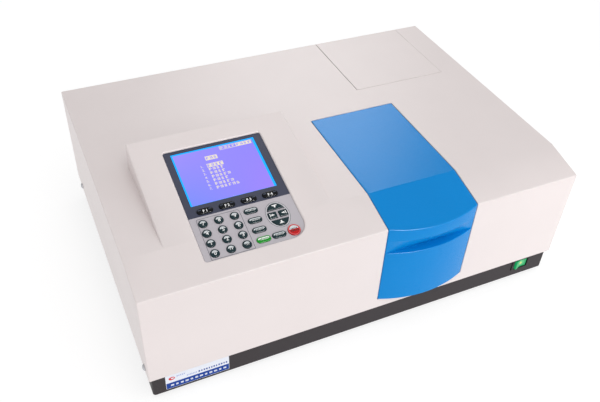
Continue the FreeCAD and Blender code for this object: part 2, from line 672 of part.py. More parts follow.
def key_outlines():
    """Each key's name with a function that draws its prism between two levels."""
    outlines = {}

    def add(name, draw, *place):
        outlines["key_" + name] = lambda low, high, grow="0": draw(*place, low, high, grow)
    for y, names in zip(NUMBER_ROWS, NUMBER_NAMES):
        for x, name in zip(NUMBER_COLUMNS, names):
            add(name, round_prism, x, y, "key_radius")
    for column, name in enumerate(MENU_NAMES):
        add(name, slot_prism, f"menu_x + {column} * menu_pitch", "menu_y", "menu_pill_width",
            "pill_height")
    for name, (x, y) in PILLS.items():
        add(name, slot_prism, x, y, "pill_width", "pill_height")
    add("stop", round_prism, "stop_key_x", "stop_key_y", "stop_key_radius")
    for side in ("up", "down", "left", "right"):
        add(side, arrow_prism, side)
    return outlines


def make_keys(outlines):
    """Every key: a cap, a flange that keeps it under the panel, and a stem."""
    for name, draw in outlines.items():
        cap = draw(FLANGE_TOP, CAP_TOP)
        flange = draw(FLANGE_LOW, FLANGE_TOP, "key_flange")
        document.recompute()
        middle = flange.Shape.BoundBox.Center
        stem = document.addObject("Part::Cylinder", "Stem")
        stem.Placement.Base = FreeCAD.Vector(middle.x, middle.y, 0)
        bind(stem, "Placement.Base.z", f"{FLANGE_LOW} - key_stem")
        bind(stem, "Radius", "key_stem")
        bind(stem, "Height", "key_stem + 0.5")
        publish(fuse(cap, flange, stem), name, sloped=True)


def make_display_panel(outlines):
    """The moulded panel behind the console's window, with holes for the keys."""
    body = new_body("DisplayPanel")
    plate = rectangle(("panel_left - panel_overlap", "panel_low - panel_overlap"),
                      ("panel_right + panel_overlap", "panel_high + panel_overlap"))
    pad(body, draw_outline(sketch_on(body, "XY", f"-{PANEL_DEPTH}"), plate), "panel_plate")
    field = rectangle(("panel_left + panel_gap", "panel_low + panel_gap"),
                      ("panel_right - panel_gap", "panel_high - panel_gap"))
    pad(body, draw_outline(sketch_on(body, "XY", "-wall - 0.5"), field),
        "wall - panel_recess + 0.5")
    display = rectangle(("display_left", "display_low"), ("display_right", "display_high"))
    pocket(body, draw_outline(sketch_on(body, "XY"), display), "4 * wall")

    def field_corner(big):
        def test(middle, direction):
            if abs(direction.z) < 0.99 or middle.z < value("-wall"):
                return False
            inside = value("display_left") - 1 < middle.x < value("display_right") + 1
            right = middle.x > value("display_right") + 1
            low = middle.y < value("panel_high") / 2
            return not inside and ((right and low) == big)
        return test
    round_edges(body, "panel_big_corner - panel_gap", field_corner(True))
    round_edges(body, "panel_corner - panel_gap", field_corner(False))
    holes = [draw("-3 * wall", "wall", "key_gap") for draw in outlines.values()]
    return publish(cut(body, *holes), "display_panel", sloped=True)


def make_lcd_module():
    """The liquid-crystal display: its glass in the panel's window, its frame behind."""
    glass = block(("display_left + 0.2", "display_right - 0.2"),
                  ("display_low + 0.2", "display_high - 0.2"),
                  (f"-{PANEL_DEPTH} - 0.5", "-panel_recess - 0.3"))
    frame = block(("display_left - display_frame", "display_right + display_frame"),
                  ("display_low - display_frame", "display_high + display_frame"),
                  (f"-{PANEL_DEPTH} - display_thickness", f"-{PANEL_DEPTH}"))
    return publish(fuse(glass, frame), "lcd_module", sloped=True)


def make_key_board():
    """The circuit board under the keys, on four posts."""
    left, right = "panel_left + 3", "panel_right - 4"
    low, high = "panel_low - 3", "display_low - display_frame - 1"
    board = block((left, right), (low, high), ("-board_drop - board_thickness", "-board_drop"))
    posts = [rod("z", (x, y, "-board_drop - 0.5"), "board_post", f"board_drop + 0.5 - {PANEL_DEPTH}")
             for x, y in (("panel_left + 6.5", "panel_low + 0.2"), ("panel_right - 7", "panel_low + 0.2"),
                          ("panel_left + 6.5", "menu_y + 0.5"), ("panel_right - 8", "menu_y + 0.5"))]
    return publish(fuse(board, *posts), "key_board", sloped=True)


# ---- power switch -----------------------------------------------------------------------

PIVOT_Y = "(base_inset + rocker_pivot)"


def make_switch_housing():
    """The switch's bezel and its pocket for the rocker."""
    bezel = slab(("switch_x", "base_inset - bezel_rise / 2", "switch_z"),
                 ("bezel_width", "bezel_rise", "bezel_height"))
    box = slab(("switch_x", "base_inset + housing_depth / 2 - 0.5", "switch_z"),
               ("housing_width", "housing_depth + 1", "housing_height"))
    mouth = slab(("switch_x", "base_inset + mouth_depth / 2 - bezel_rise", "switch_z"),
                 ("rocker_width + 2 * mouth_gap_x", "mouth_depth + 2 * bezel_rise",
                  "rocker_height + 2 * mouth_gap_z"))
    bore = rod("z", ("switch_x", PIVOT_Y, "switch_z - housing_height / 2 + 0.3"),
               "rocker_pin + shaft_play", "housing_height - 0.6")
    return publish(cut(fuse(bezel, box), mouth, bore), "switch_housing")


def make_power_rocker():
    """The two-faced rocker, drawn level about its upright pivot and tilted when placed."""
    body = new_body("PowerRocker")
    half = "rocker_width / 2"
    outline = [(f"-{half}", "-rocker_rise"), ("0", "rocker_dip - rocker_rise"),
               (half, "-rocker_rise"), (half, "-rocker_shoulder"), ("rocker_tail", "rocker_back"),
               ("-rocker_tail", "rocker_back"), (f"-{half}", "-rocker_shoulder")]
    pad(body, draw_outline(sketch_on(body, "XY", "-rocker_height / 2"), outline), "rocker_height")
    pin = sketch_on(body, "XY", "-rocker_height / 2 - rocker_pin_reach")
    draw_circle(pin, ("0", "0"), "rocker_pin")
    pad(body, pin, "rocker_height + 2 * rocker_pin_reach")
    turn = FreeCAD.Rotation(FreeCAD.Vector(0, 0, 1), value("rocker_tilt"))
    rocker = publish(body, "power_rocker", turn=turn, about=("switch_x", PIVOT_Y, "switch_z"))
    bind(rocker, "Placement.Rotation.Angle", "rocker_tilt")
    return rocker


# ---- lid of the sample compartment ------------------------------------------------------

def make_sample_lid():
    """The blue lid: a flat and sloping roof and a bulging front with a finger groove."""
    body = new_body("SampleLid")
    plan = [("lid_right", "0"), ("lid_right", "lid_skirt"), ("lid_left", "lid_skirt"),
            ("lid_left", "0")]
    centre = (LID_MIDDLE, f"{LID_ARC} - lid_bulge")

    def plan_at(height):
        return draw_outline(sketch_on(body, "XY", height), plan, centre)
    pad(body, plan_at("lid_bottom"), "groove_height - lid_bottom")
    scoop = body.newObject("PartDesign::AdditiveLoft", "Scoop")
    scoop.Profile = draw_outline(sketch_on(body, "XY", "groove_height"), plan)
    scoop.Sections = [plan_at("band_height")]
    scoop.Ruled = True
    document.recompute()
    pad(body, plan_at("band_height"), f"{TOP} + 5 - band_height")
    roof = [("0", f"{slope_at('0')} - lid_flange"), ("0", "front_height"), ("crease_depth", TOP),
            ("lid_rear", TOP), ("lid_rear", f"{TOP} - lid_edge"),
            ("lid_rear - wall + lid_edge", INNER_TOP), ("chamber_rear - lid_shelf", INNER_TOP),
            ("chamber_rear - lid_shelf", f"{TOP} - lid_flange"), ("crease_depth", f"{TOP} - lid_flange")]
    pad(body, draw_outline(sketch_on(body, "YZ", "lid_left"), roof), "lid_right - lid_left")
    above = [("-2 * lid_bulge", slope_at("-2 * lid_bulge")), ("crease_depth", TOP),
             ("crease_depth", f"{TOP} + 20"), ("-2 * lid_bulge", f"{TOP} + 20")]
    pocket(body, draw_outline(sketch_on(body, "YZ"), above), "width", reverse=True)
    hollow = [("wall", "lid_bottom - 1"), ("wall", inner_slope_at("wall")),
              (INNER_CREASE, INNER_TOP), ("lid_rear - wall - 3", INNER_TOP),
              ("lid_rear - wall - 3", f"{TOP} - lid_flange - 1"),
              ("lid_skirt + 1", f"{TOP} - 2 * lid_flange"), ("lid_skirt + 1", "lid_bottom - 1")]
    pocket(body, draw_outline(sketch_on(body, "YZ", "lid_left + wall"), hollow),
           "lid_right - lid_left - 2 * wall", reverse=True)
    behind = [("lid_right - 4 * wall", "wall + 1"), ("lid_left + 4 * wall", "wall + 1"),
              ("lid_left + 4 * wall", f"{LID_ARC} - lid_bulge - sqrt(({LID_ARC} - wall) ^ 2"
               f" - ((lid_right - lid_left) / 2 - 4 * wall) ^ 2)")]
    mirrored = (behind[0][0], behind[2][1])
    sketch = draw_outline(sketch_on(body, "XY", "lid_bottom - 1"), [mirrored] + behind, centre)
    pocket(body, sketch, "groove_height - wall - lid_bottom + 1", reverse=True)
    return publish(body, "sample_lid")


def make_lid_liner():
    """The black lining under the lid's roof and behind its front."""
    body = new_body("LidLiner")
    low = "lid_bottom + 4"
    drop = "(wall / cos(slope_angle) + liner_thickness / cos(slope_angle))"
    liner_crease = ("(crease_depth + ((wall + liner_thickness) / cos(slope_angle)"
                    " - wall - liner_thickness) / tan(slope_angle))")
    back = "chamber_rear - 8"
    profile = [("wall", low), ("wall", inner_slope_at("wall")), (INNER_CREASE, INNER_TOP),
               (back, INNER_TOP), (back, f"{INNER_TOP} - liner_thickness"),
               (liner_crease, f"{INNER_TOP} - liner_thickness"),
               ("wall + liner_thickness", f"{slope_at('wall + liner_thickness')} - {drop}"),
               ("wall + liner_thickness", low)]
    pad(body, draw_outline(sketch_on(body, "YZ", "lid_left + wall + liner_gap"), profile),
        "lid_right - lid_left - 2 * wall - 2 * liner_gap")
    return publish(body, "lid_liner")


ARM_PLACES = ["lid_left + arm_inset - arm_thickness / 2",
              "lid_right - arm_inset - arm_thickness / 2"]


def make_lid_hinge_arms():
    """Two gooseneck arms that pass under the cover's edge to the hinge."""
    arms = []
    foot_low = f"{INNER_TOP} - 3"
    for x in ARM_PLACES:
        side = (x, f"{x} + arm_thickness")
        half = "arm_section / 2"
        parts = [
            block(side, (f"{HINGE_Y} - {half}", f"{HINGE_Y} + {half}"),
                  (f"{HINGE_Z} - arm_dip", HINGE_Z)),
            block(side, (f"{HINGE_Y} - arm_reach - {half}", f"{HINGE_Y} + {half}"),
                  (f"{HINGE_Z} - arm_dip", f"{HINGE_Z} - arm_dip + arm_section")),
            block(side, (f"{HINGE_Y} - arm_reach - {half}", f"{HINGE_Y} - arm_reach + {half}"),
                  (f"{HINGE_Z} - arm_dip", INNER_TOP)),
            block((f"{x} - 6", f"{x} + arm_thickness + 6"),
                  ("chamber_rear + 1", f"{HINGE_Y} - arm_reach + {half}"), (foot_low, INNER_TOP)),
            rod("x", (x, HINGE_Y, HINGE_Z), "hinge_eye", "arm_thickness"),
        ]
        bore = rod("x", (f"{x} - 1", HINGE_Y, HINGE_Z), "hinge_pin + hinge_play",
                   "arm_thickness + 2")
        arms.append(cut(fuse(*parts), bore))
    return publish(group(*arms), "lid_hinge_arms")


def make_hinge_brackets():
    """Two forked brackets under the cover, each with its hinge pin."""
    brackets = []
    for x in ARM_PLACES:
        inner = (f"{x} - 0.5", f"{x} + arm_thickness + 0.5")
        low = f"{HINGE_Z} - hinge_eye"
        ears = [block(side, (f"{HINGE_Y} - hinge_eye", f"{HINGE_Y} + 18"), (low, INNER_TOP))
                for side in ((f"{inner[0]} - 3", inner[0]), (inner[1], f"{inner[1]} + 3"))]
        plate = block((f"{inner[0]} - 12", f"{inner[1]} + 12"),
                      (f"{HINGE_Y} - hinge_eye", f"{HINGE_Y} + 18"), (f"{INNER_TOP} - 2.5", INNER_TOP))
        pin = rod("x", (f"{inner[0]} - 4.5", HINGE_Y, HINGE_Z), "hinge_pin", "arm_thickness + 10")
        brackets.append(fuse(plate, *ears, pin))
    return publish(group(*brackets), "hinge_brackets")


def make_lamp_cover():
    """The lift-off cover over the lamps: a top, a back with louvres and locating ribs."""
    body = new_body("LampCover")
    profile = [("hatch_front", TOP), ("depth", TOP), ("depth", "hatch_bottom"),
               ("depth - wall", "hatch_bottom"), ("depth - wall", INNER_TOP),
               ("hatch_front", INNER_TOP)]
    pad(body, draw_outline(sketch_on(body, "YZ", "hatch_left"), profile), "hatch_right - hatch_left")
    for x in ("hatch_left", "hatch_right - wall"):
        rib = [("hatch_front", INNER_TOP), ("hatch_front", f"{INNER_TOP} - hatch_flange"),
               ("depth - wall", f"{INNER_TOP} - hatch_flange"), ("depth - wall", INNER_TOP)]
        pad(body, draw_outline(sketch_on(body, "YZ", x), rib), "wall")
    slot = rectangle(("hatch_left + louvre_inset", "hatch_bottom + louvre_low"),
                     ("hatch_right - louvre_inset", "hatch_bottom + louvre_low + louvre_height"))
    first = pocket(body, draw_outline(sketch_on(body, "XZ", "-depth"), slot), "1.5 * wall",
                   reverse=True)
    louvres = body.newObject("PartDesign::LinearPattern", "Louvres")
    louvres.Originals = [first]
    louvres.Direction = (first.Profile[0], ["V_Axis"])
    bind(louvres, "Length", "louvre_pitch * (louvre_count - 1)")
    bind(louvres, "Occurrences", "louvre_count")
    body.Tip = louvres
    document.recompute()
    return publish(body, "lamp_cover")


# ---- sample compartment and optics ------------------------------------------------------

def make_sample_chamber():
    """The black compartment under the lid, with the hinge's well behind it."""
    body = new_body("SampleChamber")
    low = "deck_top"
    well = f"{TOP} - well_drop"
    outline = [("chamber_front", low), ("chamber_front", inner_slope_at("chamber_front")),
               (INNER_CREASE, INNER_TOP), ("well_rear + wall", INNER_TOP),
               ("well_rear + wall", f"{well} - wall"), ("chamber_rear + wall", f"{well} - wall"),
               ("chamber_rear + wall", low)]
    outer_left = f"{OPENING_X[0]} - chamber_wall"
    outer_width = "lid_right - lid_left + 2 * lid_gap + 2 * chamber_wall"
    pad(body, draw_outline(sketch_on(body, "YZ", outer_left), outline), outer_width)
    above = f"{TOP} + 5"
    room = [("-5", "chamber_floor"), ("chamber_rear", "chamber_floor"),
            ("chamber_rear", f"{TOP} - lid_flange - well_sill"),
            ("chamber_rear + wall", f"{TOP} - lid_flange - well_sill"), ("chamber_rear + wall", well),
            ("well_rear", well), ("well_rear", above), ("-5", above)]
    pocket(body, draw_outline(sketch_on(body, "YZ", OPENING_X[0]), room),
           "lid_right - lid_left + 2 * lid_gap", reverse=True)
    window = sketch_on(body, "YZ")
    draw_circle(window, (SAMPLE_Y, "beam_height"), "beam_hole")
    pocket(body, window, "width", reverse=True)
    rail = rectangle((f"{LID_MIDDLE} - rail_half_width", "rail_front"),
                     (f"{LID_MIDDLE} + rail_half_width", "chamber_rear - 2 * wall"))
    pad(body, draw_outline(sketch_on(body, "XY", "chamber_floor"), rail), "rail_height")
    return publish(body, "sample_chamber")


CELL_YS = [f"cell_first + {index} * cell_pitch" for index in range(SIZES["cell_count"])]
SAMPLE_Y = CELL_YS[-1]


def make_cell_carriage():
    """The sliding holder for a row of cells, which straddles the chamber's rail."""
    reach = "(cell_pitch / 2 + carriage_margin)"
    carrier = block((f"{LID_MIDDLE} - carriage_half_width", f"{LID_MIDDLE} + carriage_half_width"),
                    (f"{CELL_YS[0]} - {reach}", f"{CELL_YS[-1]} + {reach}"),
                    ("chamber_floor + rail_gap", "cell_low + cell_height - cell_proud"))
    groove = "(rail_half_width + rail_gap)"
    tools = [block((f"{LID_MIDDLE} - {groove}", f"{LID_MIDDLE} + {groove}"), ("0", "chamber_rear"),
                   ("chamber_floor - 1", "chamber_floor + rail_height + rail_gap"))]
    place = "cell + 2 * cell_gap"
    for y in CELL_YS:
        tools.append(slab((LID_MIDDLE, y, "cell_low + cell_height"), (place, place, "2 * cell_height")))
        tools.append(rod("x", (f"{LID_MIDDLE} - carriage_half_width - 1", y, "beam_height"),
                         "carriage_window", "2 * carriage_half_width + 2"))
    return publish(cut(carrier, *tools), "cell_carriage")


def make_cuvettes():
    """Open square glass cells, one in each place of the carriage."""
    cells = []
    for y in CELL_YS:
        outside = slab((LID_MIDDLE, y, "cell_low + cell_height / 2"), ("cell", "cell", "cell_height"))
        inside = slab((LID_MIDDLE, y, "cell_low + cell_floor + cell_height / 2"),
                      ("cell - 2 * cell_wall", "cell - 2 * cell_wall", "cell_height"))
        cells.append(cut(outside, inside))
    return publish(group(*cells), "cuvettes")


def make_optical_deck():
    """The cast plate that carries the optics, on six pillars."""
    plate = block(("lid_left - 50", "width - 10"), ("10", "depth - 12"), ("deck_low", "deck_top"))
    pillars = [rod("z", (x, y, "wall"), "pillar_radius", "deck_low - wall + 1")
               for x in ("lid_left - 30", LID_MIDDLE, "width - 30") for y in ("60", "depth - 40")]
    return publish(fuse(plate, *pillars), "optical_deck")


def make_monochromator_box():
    """The closed box round the grating, with two slit windows and the turntable's pin."""
    low = "deck_top + box_floor"
    outside = block(("box_left", "box_right"), ("box_front", "box_rear"), ("deck_top", "box_top"))
    inside = block(("box_left + box_wall", "box_right - box_wall"),
                   ("box_front + box_wall", "box_rear - box_wall"), (low, "box_top - box_wall"))
    windows = [slab(("box_right", "beam_y", "beam_height"), ("12", "slit_width", "slit_height")),
               slab(("380", "box_front", "beam_height"), ("slit_width", "12", "slit_height"))]
    pin = rod("z", ("turntable_x", "turntable_y", f"{low} - 1"), "turntable_pin",
              "turntable_pin_length")
    return publish(fuse(cut(outside, inside, *windows), pin), "monochromator_box")


def make_grating_turntable():
    """The turntable with the diffraction grating standing on it."""
    low = "(deck_top + box_floor + turntable_gap)"
    disc = rod("z", ("turntable_x", "turntable_y", low), "turntable_radius", "turntable_height")
    stand = slab(("turntable_x", "turntable_y + grating_thickness / 2 + 6",
                  f"{low} + turntable_height - 1 + stand_height / 2"),
                 ("stand_width", "stand_thickness", "stand_height"))
    plate = slab(("turntable_x", "turntable_y + grating_thickness / 2 + 1", "beam_height"),
                 ("grating", "grating_thickness", "grating"))
    bore = rod("z", ("turntable_x", "turntable_y", f"{low} - 1"), "turntable_pin + shaft_play",
               "turntable_height + 2")
    return publish(cut(fuse(disc, stand, plate), bore), "grating_turntable")


def make_optics_mirrors():
    """Concave mirrors on stands, which lead the beam to the sample compartment."""
    mirrors = []
    height = "(beam_height + mirror_stand_rise - deck_top)"
    for x, y in (("600", SAMPLE_Y), ("520", "250"), ("600", "250")):
        disc = rod("x", (x, y, "beam_height"), "mirror_radius", "mirror_depth")
        stand = slab((f"{x} + mirror_stand_thickness", y, f"deck_top + {height} / 2"),
                     ("mirror_stand_thickness", "mirror_stand_width", height))
        mirrors.append(fuse(disc, stand))
    return publish(group(*mirrors), "optics_mirrors")


WHEEL_CENTRE = ("beam_y + wheel_offset", "beam_height")
HOUSE_FLOOR = "(deck_top + house_floor)"


def make_lamp_house():
    """The open-topped lamp compartment with the pins of the mirror and the filter wheel."""
    outside = block(("house_left", "house_right"), ("house_front", "house_rear"),
                    ("deck_top", "house_top"))
    inside = block(("house_left + house_wall", "house_right - house_wall"),
                   ("house_front + house_wall", "house_rear - house_wall"),
                   (HOUSE_FLOOR, "house_top + 1"))
    window = slab(("house_left", "beam_y", "beam_height"), ("12", "house_window", "house_window"))
    axle = rod("x", ("house_left - wheel_axle_reach", *WHEEL_CENTRE), "wheel_axle",
               "wheel_axle_reach + 1")
    pivot = rod("z", ("mirror_x", "beam_y", f"{HOUSE_FLOOR} - 1"), "mirror_pin",
                "mirror_pin_length")
    return publish(fuse(cut(outside, inside, window), axle, pivot), "lamp_house")


def make_lamp_mirror():
    """The mirror that turns to choose a lamp."""
    low = f"({HOUSE_FLOOR} + mirror_gap)"
    post = rod("z", ("mirror_x", "beam_y", low), "mirror_post", "mirror_post_length")
    mirror = slab(("mirror_x", "beam_y", "beam_height"),
                  ("mirror_thickness", "mirror_side", "mirror_side"))
    bore = rod("z", ("mirror_x", "beam_y", f"{low} - 1"), "mirror_pin + shaft_play",
               "mirror_pin_length + 1")
    return publish(cut(fuse(post, mirror), bore), "lamp_mirror")


def make_filter_wheel():
    """The disc of order-sorting filters on the lamp house's axle."""
    face = "(house_left - wheel_stand_off)"
    disc = rod("x", (face, *WHEEL_CENTRE), "wheel_radius", "wheel_thickness")
    tools = [rod("x", (f"{face} - 1", *WHEEL_CENTRE), "wheel_axle + shaft_play",
                 "wheel_thickness + 2")]
    for index in range(SIZES["filter_count"]):
        angle = f"(360 * {index} / filter_count)"
        tools.append(rod("x", (f"{face} - 1", f"{WHEEL_CENTRE[0]} - filter_circle * cos({angle})",
                               f"{WHEEL_CENTRE[1]} + filter_circle * sin({angle})"),
                         "filter_radius", "wheel_thickness + 2"))
    return publish(cut(disc, *tools), "filter_wheel")


def make_lamps():
    """The deuterium lamp and the halogen lamp on their bases."""
    lamps = []
    for y, lamp in (("house_front + lamp_inset", "arc_lamp"), ("house_rear - lamp_inset", "glow_lamp")):
        lamps.append(fuse(rod("z", ("lamp_x", y, HOUSE_FLOOR), f"{lamp}_base", "lamp_base_height"),
                          rod("z", ("lamp_x", y, HOUSE_FLOOR), lamp, f"{lamp}_height")))
    return publish(group(*lamps), "lamps")


def make_detector_box():
    """The detector in its box on the far side of the sample compartment."""
    y = (f"{SAMPLE_Y} - detector_half_depth", f"{SAMPLE_Y} + detector_half_depth")
    outside = block(("detector_left", "detector_right"), y, ("deck_top", "detector_top"))
    inside = block(("detector_left + box_wall", "detector_right - box_wall"),
                   (f"{y[0]} + box_wall", f"{y[1]} - box_wall"),
                   ("deck_top + box_wall", "detector_top - box_wall"))
    window = rod("x", ("detector_right - box_wall - 1", SAMPLE_Y, "beam_height"), "detector_window",
                 "box_wall + 2")
    tube = rod("x", ("detector_left + box_wall - 1", SAMPLE_Y, "beam_height"), "detector_tube",
               "detector_tube_length")
    return publish(fuse(cut(outside, inside, window), tube), "detector_box")


CHIPS = (("90", "90", "34"), ("160", "90", "24"), ("90", "160", "28"), ("200", "160", "20"))


def make_main_board():
    """The controller board with its chips, on four posts."""
    top = "(board_low + board_thickness)"
    board = block(("board_left", "board_right"), ("board_front", "board_rear"), ("board_low", top))
    posts = [rod("z", (x, y, "wall"), "board_post_radius", "board_low - wall + 0.5")
             for x in ("board_left + board_inset", "board_right - board_inset")
             for y in ("board_front + board_inset", "board_rear - board_inset")]
    chips = [slab((x, y, f"{top} - 0.4 + board_chip_height / 2"), (side, side, "board_chip_height"))
             for x, y, side in CHIPS]
    return publish(fuse(board, *posts, *chips), "main_board")


def make_power_supply():
    """The supply's sheet-metal case with its transformer."""
    case = block(("supply_left", "supply_right"), ("supply_front", "supply_rear"),
                 ("wall", "supply_top"))
    inside = block(("supply_left + supply_wall", "supply_right - supply_wall"),
                   ("supply_front + supply_wall", "supply_rear - supply_wall"),
                   ("wall + supply_wall", "supply_top + 1"))
    core = slab(("core_x", "core_y", "wall + supply_wall - 0.25 + core_height / 2"),
                ("core_width", "core_depth", "core_height"))
    return publish(fuse(cut(case, inside), core), "power_supply")


# ---- build, check and write -------------------------------------------------------------

def build():
    """Make every piece."""
    outlines = key_outlines()
    make_base_pan()
    make_feet()
    make_top_shell()
    make_side_screws()
    make_name_label()
    make_rear_panel()
    make_power_inlet()
    make_data_ports()
    make_fan_frame()
    make_fan_rotor()
    make_display_panel(outlines)
    make_keys(outlines)
    make_lcd_module()
    make_key_board()
    make_switch_housing()
    make_power_rocker()
    make_sample_lid()
    make_lid_liner()
    make_lid_hinge_arms()
    make_hinge_brackets()
    make_lamp_cover()
    make_sample_chamber()
    make_cell_carriage()
    make_cuvettes()
    make_optical_deck()
    make_monochromator_box()
    make_grating_turntable()
    make_optics_mirrors()
    make_lamp_house()
    make_lamp_mirror()
    make_filter_wheel()
    make_lamps()
    make_detector_box()
    make_main_board()
    make_power_supply()
    document.recompute()


def check():
    """Stop if an object failed or a piece has no sound shape."""
    for item in document.Objects:
        if {"Invalid", "Error"} & set(item.State):
            raise RuntimeError(f"{item.Label} did not recompute: {item.State}")
    for solid in pieces:
        if solid.Shape.isNull() or not solid.Shape.isValid() or not solid.Shape.Solids:
            raise RuntimeError(f"{solid.Label} has no sound shape")


def write():
    """Write every piece as its own file."""
    os.makedirs("parts", exist_ok=True)
    whole = FreeCAD.BoundBox()
    for solid in pieces:
        solid.Shape.exportStep(f"parts/{solid.Label}.step")
        whole.add(solid.Shape.BoundBox)
        print(f"{solid.Label:20s} {len(solid.Shape.Solids):3d} solids {solid.Shape.Volume / 1000:9.1f} cm3")
    print(len(pieces), "pieces", whole)


build()
check()
write()
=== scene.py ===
"""A bench-top spectrophotometer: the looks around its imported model.

Pieces are drawn in millimetres in the cabinet's frame (x from the left side, y from the
front face, z up from the base's lower edge) or in the console's (x from the left side, y up
the slope, z out of it), and a matrix then takes them to the frame's metres.
"""

import json
import math
from contextlib import contextmanager

import bmesh
import bpy
from mathutils import Matrix, Vector


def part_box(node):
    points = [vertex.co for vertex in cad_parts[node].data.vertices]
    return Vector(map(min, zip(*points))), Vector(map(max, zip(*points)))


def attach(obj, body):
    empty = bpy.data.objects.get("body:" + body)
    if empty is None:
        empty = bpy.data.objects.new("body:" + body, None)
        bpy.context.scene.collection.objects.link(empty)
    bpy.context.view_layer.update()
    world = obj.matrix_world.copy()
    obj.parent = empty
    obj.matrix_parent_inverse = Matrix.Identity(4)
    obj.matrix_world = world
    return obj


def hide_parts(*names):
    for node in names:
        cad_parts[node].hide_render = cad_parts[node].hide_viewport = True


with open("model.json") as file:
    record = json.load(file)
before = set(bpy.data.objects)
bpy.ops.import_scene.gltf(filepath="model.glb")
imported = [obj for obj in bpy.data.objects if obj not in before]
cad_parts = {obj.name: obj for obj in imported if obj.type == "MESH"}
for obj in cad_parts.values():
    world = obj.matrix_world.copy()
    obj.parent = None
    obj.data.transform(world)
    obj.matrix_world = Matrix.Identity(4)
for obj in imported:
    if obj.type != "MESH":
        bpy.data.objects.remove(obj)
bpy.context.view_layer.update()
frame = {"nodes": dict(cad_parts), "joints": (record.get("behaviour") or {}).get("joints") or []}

# ---- places and sizes, in millimetres ----------------------------------------------------

JOINTS = {joint["name"]: joint for joint in frame["joints"]}
press = Vector(JOINTS["key_5_press"]["axis"])
SLOPE = math.atan2(press.y, -press.z)
RISE = math.tan(SLOPE)

shell_low, shell_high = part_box("top_shell")
pan_low, pan_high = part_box("base_pan")
CABINET = Matrix.Translation((shell_low.x, shell_low.y, pan_low.z)) @ Matrix.Scale(0.001, 4)


def cabinet_box(node):
    """A node's low and high corner in the cabinet's frame."""
    place = CABINET.inverted()
    low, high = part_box(node)
    return place @ low, place @ high


cover_low, cover_high = cabinet_box("top_shell")
lid_low, lid_high = cabinet_box("sample_lid")
hatch_low, hatch_high = cabinet_box("lamp_cover")
WIDTH, DEPTH = cover_high.x, cover_high.y
TOP = hatch_high.z
BASE_HEIGHT = cover_low.z
CREASE = 61.9               # how far back the sloping front meets the flat top
FRONT_HEIGHT = TOP - CREASE * RISE
WALL = 3.0
GAP = 1.0                   # round the lid, and beneath the lid and the hatch
HATCH_GAP = 0.4
BULGE = 14.0                # of the lid's front, at its middle
CONSOLE_X = (51.0, 281.0)
CONSOLE_REAR = (cover_high.z - FRONT_HEIGHT) / RISE
LEAN = Matrix.Translation((0, 0, FRONT_HEIGHT)) @ Matrix.Rotation(SLOPE, 4, "X")
CONSOLE = CABINET @ LEAN
KEY_NODES = [node for node in frame["nodes"] if node.startswith("key_") and node != "key_board"]


def slope_height(y):
    return FRONT_HEIGHT + y * RISE


# ---- materials ---------------------------------------------------------------------------

def colour(red, green, blue):
    """A colour given in display units, as the renderer wants it."""
    def linear(part):
        part /= 255
        return part / 12.92 if part <= 0.04045 else ((part + 0.055) / 1.055) ** 2.4
    return (linear(red), linear(green), linear(blue), 1)


class Nodes:
    """A short way to wire a material's nodes."""

    def __init__(self, name):
        self.material = bpy.data.materials.new(name)
        self.material.use_nodes = True
        self.tree = self.material.node_tree
        self.shader = self.tree.nodes["Principled BSDF"]
        self.place = self.tree.nodes.new("ShaderNodeTexCoord").outputs["Object"]

    def put(self, socket, given):
        """Link a socket to an output, or give it a constant."""
        if isinstance(given, bpy.types.NodeSocket):
            self.tree.links.new(given, socket)
        else:
            socket.default_value = given

    def add(self, kind, **inputs):
        node = self.tree.nodes.new("ShaderNode" + kind)
        for name, given in inputs.items():
            self.put(node.inputs[name.replace("_", " ")], given)
        return node

    def set(self, **inputs):
        for name, given in inputs.items():
            self.put(self.shader.inputs[name.replace("_", " ")], given)

    def noise(self, scale, detail=3.0, stretch=None):
        place = self.place
        if stretch:
            place = self.add("Mapping", Vector=place, Scale=stretch).outputs[0]
        return self.add("TexNoise", Vector=place, Scale=scale, Detail=detail).outputs["Fac"]

    def blend(self, factor, first, second):
        node = self.tree.nodes.new("ShaderNodeMix")
        node.data_type = "RGBA"
        for number, given in ((0, factor), (6, first), (7, second)):
            self.put(node.inputs[number], given)
        return node.outputs[2]

    def span(self, value, low, high, source=(0.0, 1.0)):
        node = self.add("MapRange", Value=value)
        node.inputs["From Min"].default_value, node.inputs["From Max"].default_value = source
        node.inputs["To Min"].default_value, node.inputs["To Max"].default_value = low, high
        return node.outputs[0]

    def bump(self, height, strength, distance):
        return self.add("Bump", Height=height, Strength=strength, Distance=distance).outputs[0]


def shade(tint, factor):
    return tuple(min(1, part * factor) for part in tint[:3]) + (1,)


def surface(name, tint, rough, metal=0.0, vary=0.04, grain=900, depth=0.00003, strength=0.25,
            stretch=None, specular=0.5):
    """A surface with cloudy tone, uneven gloss and a fine grain in its relief."""
    nodes = Nodes(name)
    cloud = nodes.noise(14, 4)
    fine = nodes.noise(grain, 2, stretch)
    tone = nodes.blend(nodes.span(cloud, 0, 1, (0.3, 0.7)), shade(tint, 1 - vary), shade(tint, 1 + vary))
    nodes.set(Base_Color=tone, Metallic=metal, Specular_IOR_Level=specular,
              Roughness=nodes.span(fine, rough - 0.06, rough + 0.06, (0.3, 0.7)),
              Normal=nodes.bump(fine, strength, depth))
    return nodes.material


def glowing(name, tint, glow, strength):
    """A lit plastic surface."""
    nodes = Nodes(name)
    cloud = nodes.noise(60, 2)
    nodes.set(Base_Color=nodes.blend(cloud, shade(tint, 0.9), shade(tint, 1.1)), Roughness=0.25,
              Specular_IOR_Level=0.25, Emission_Color=glow, Emission_Strength=strength,
              Normal=nodes.bump(nodes.noise(700, 2), 0.1, 0.00002))
    return nodes.material


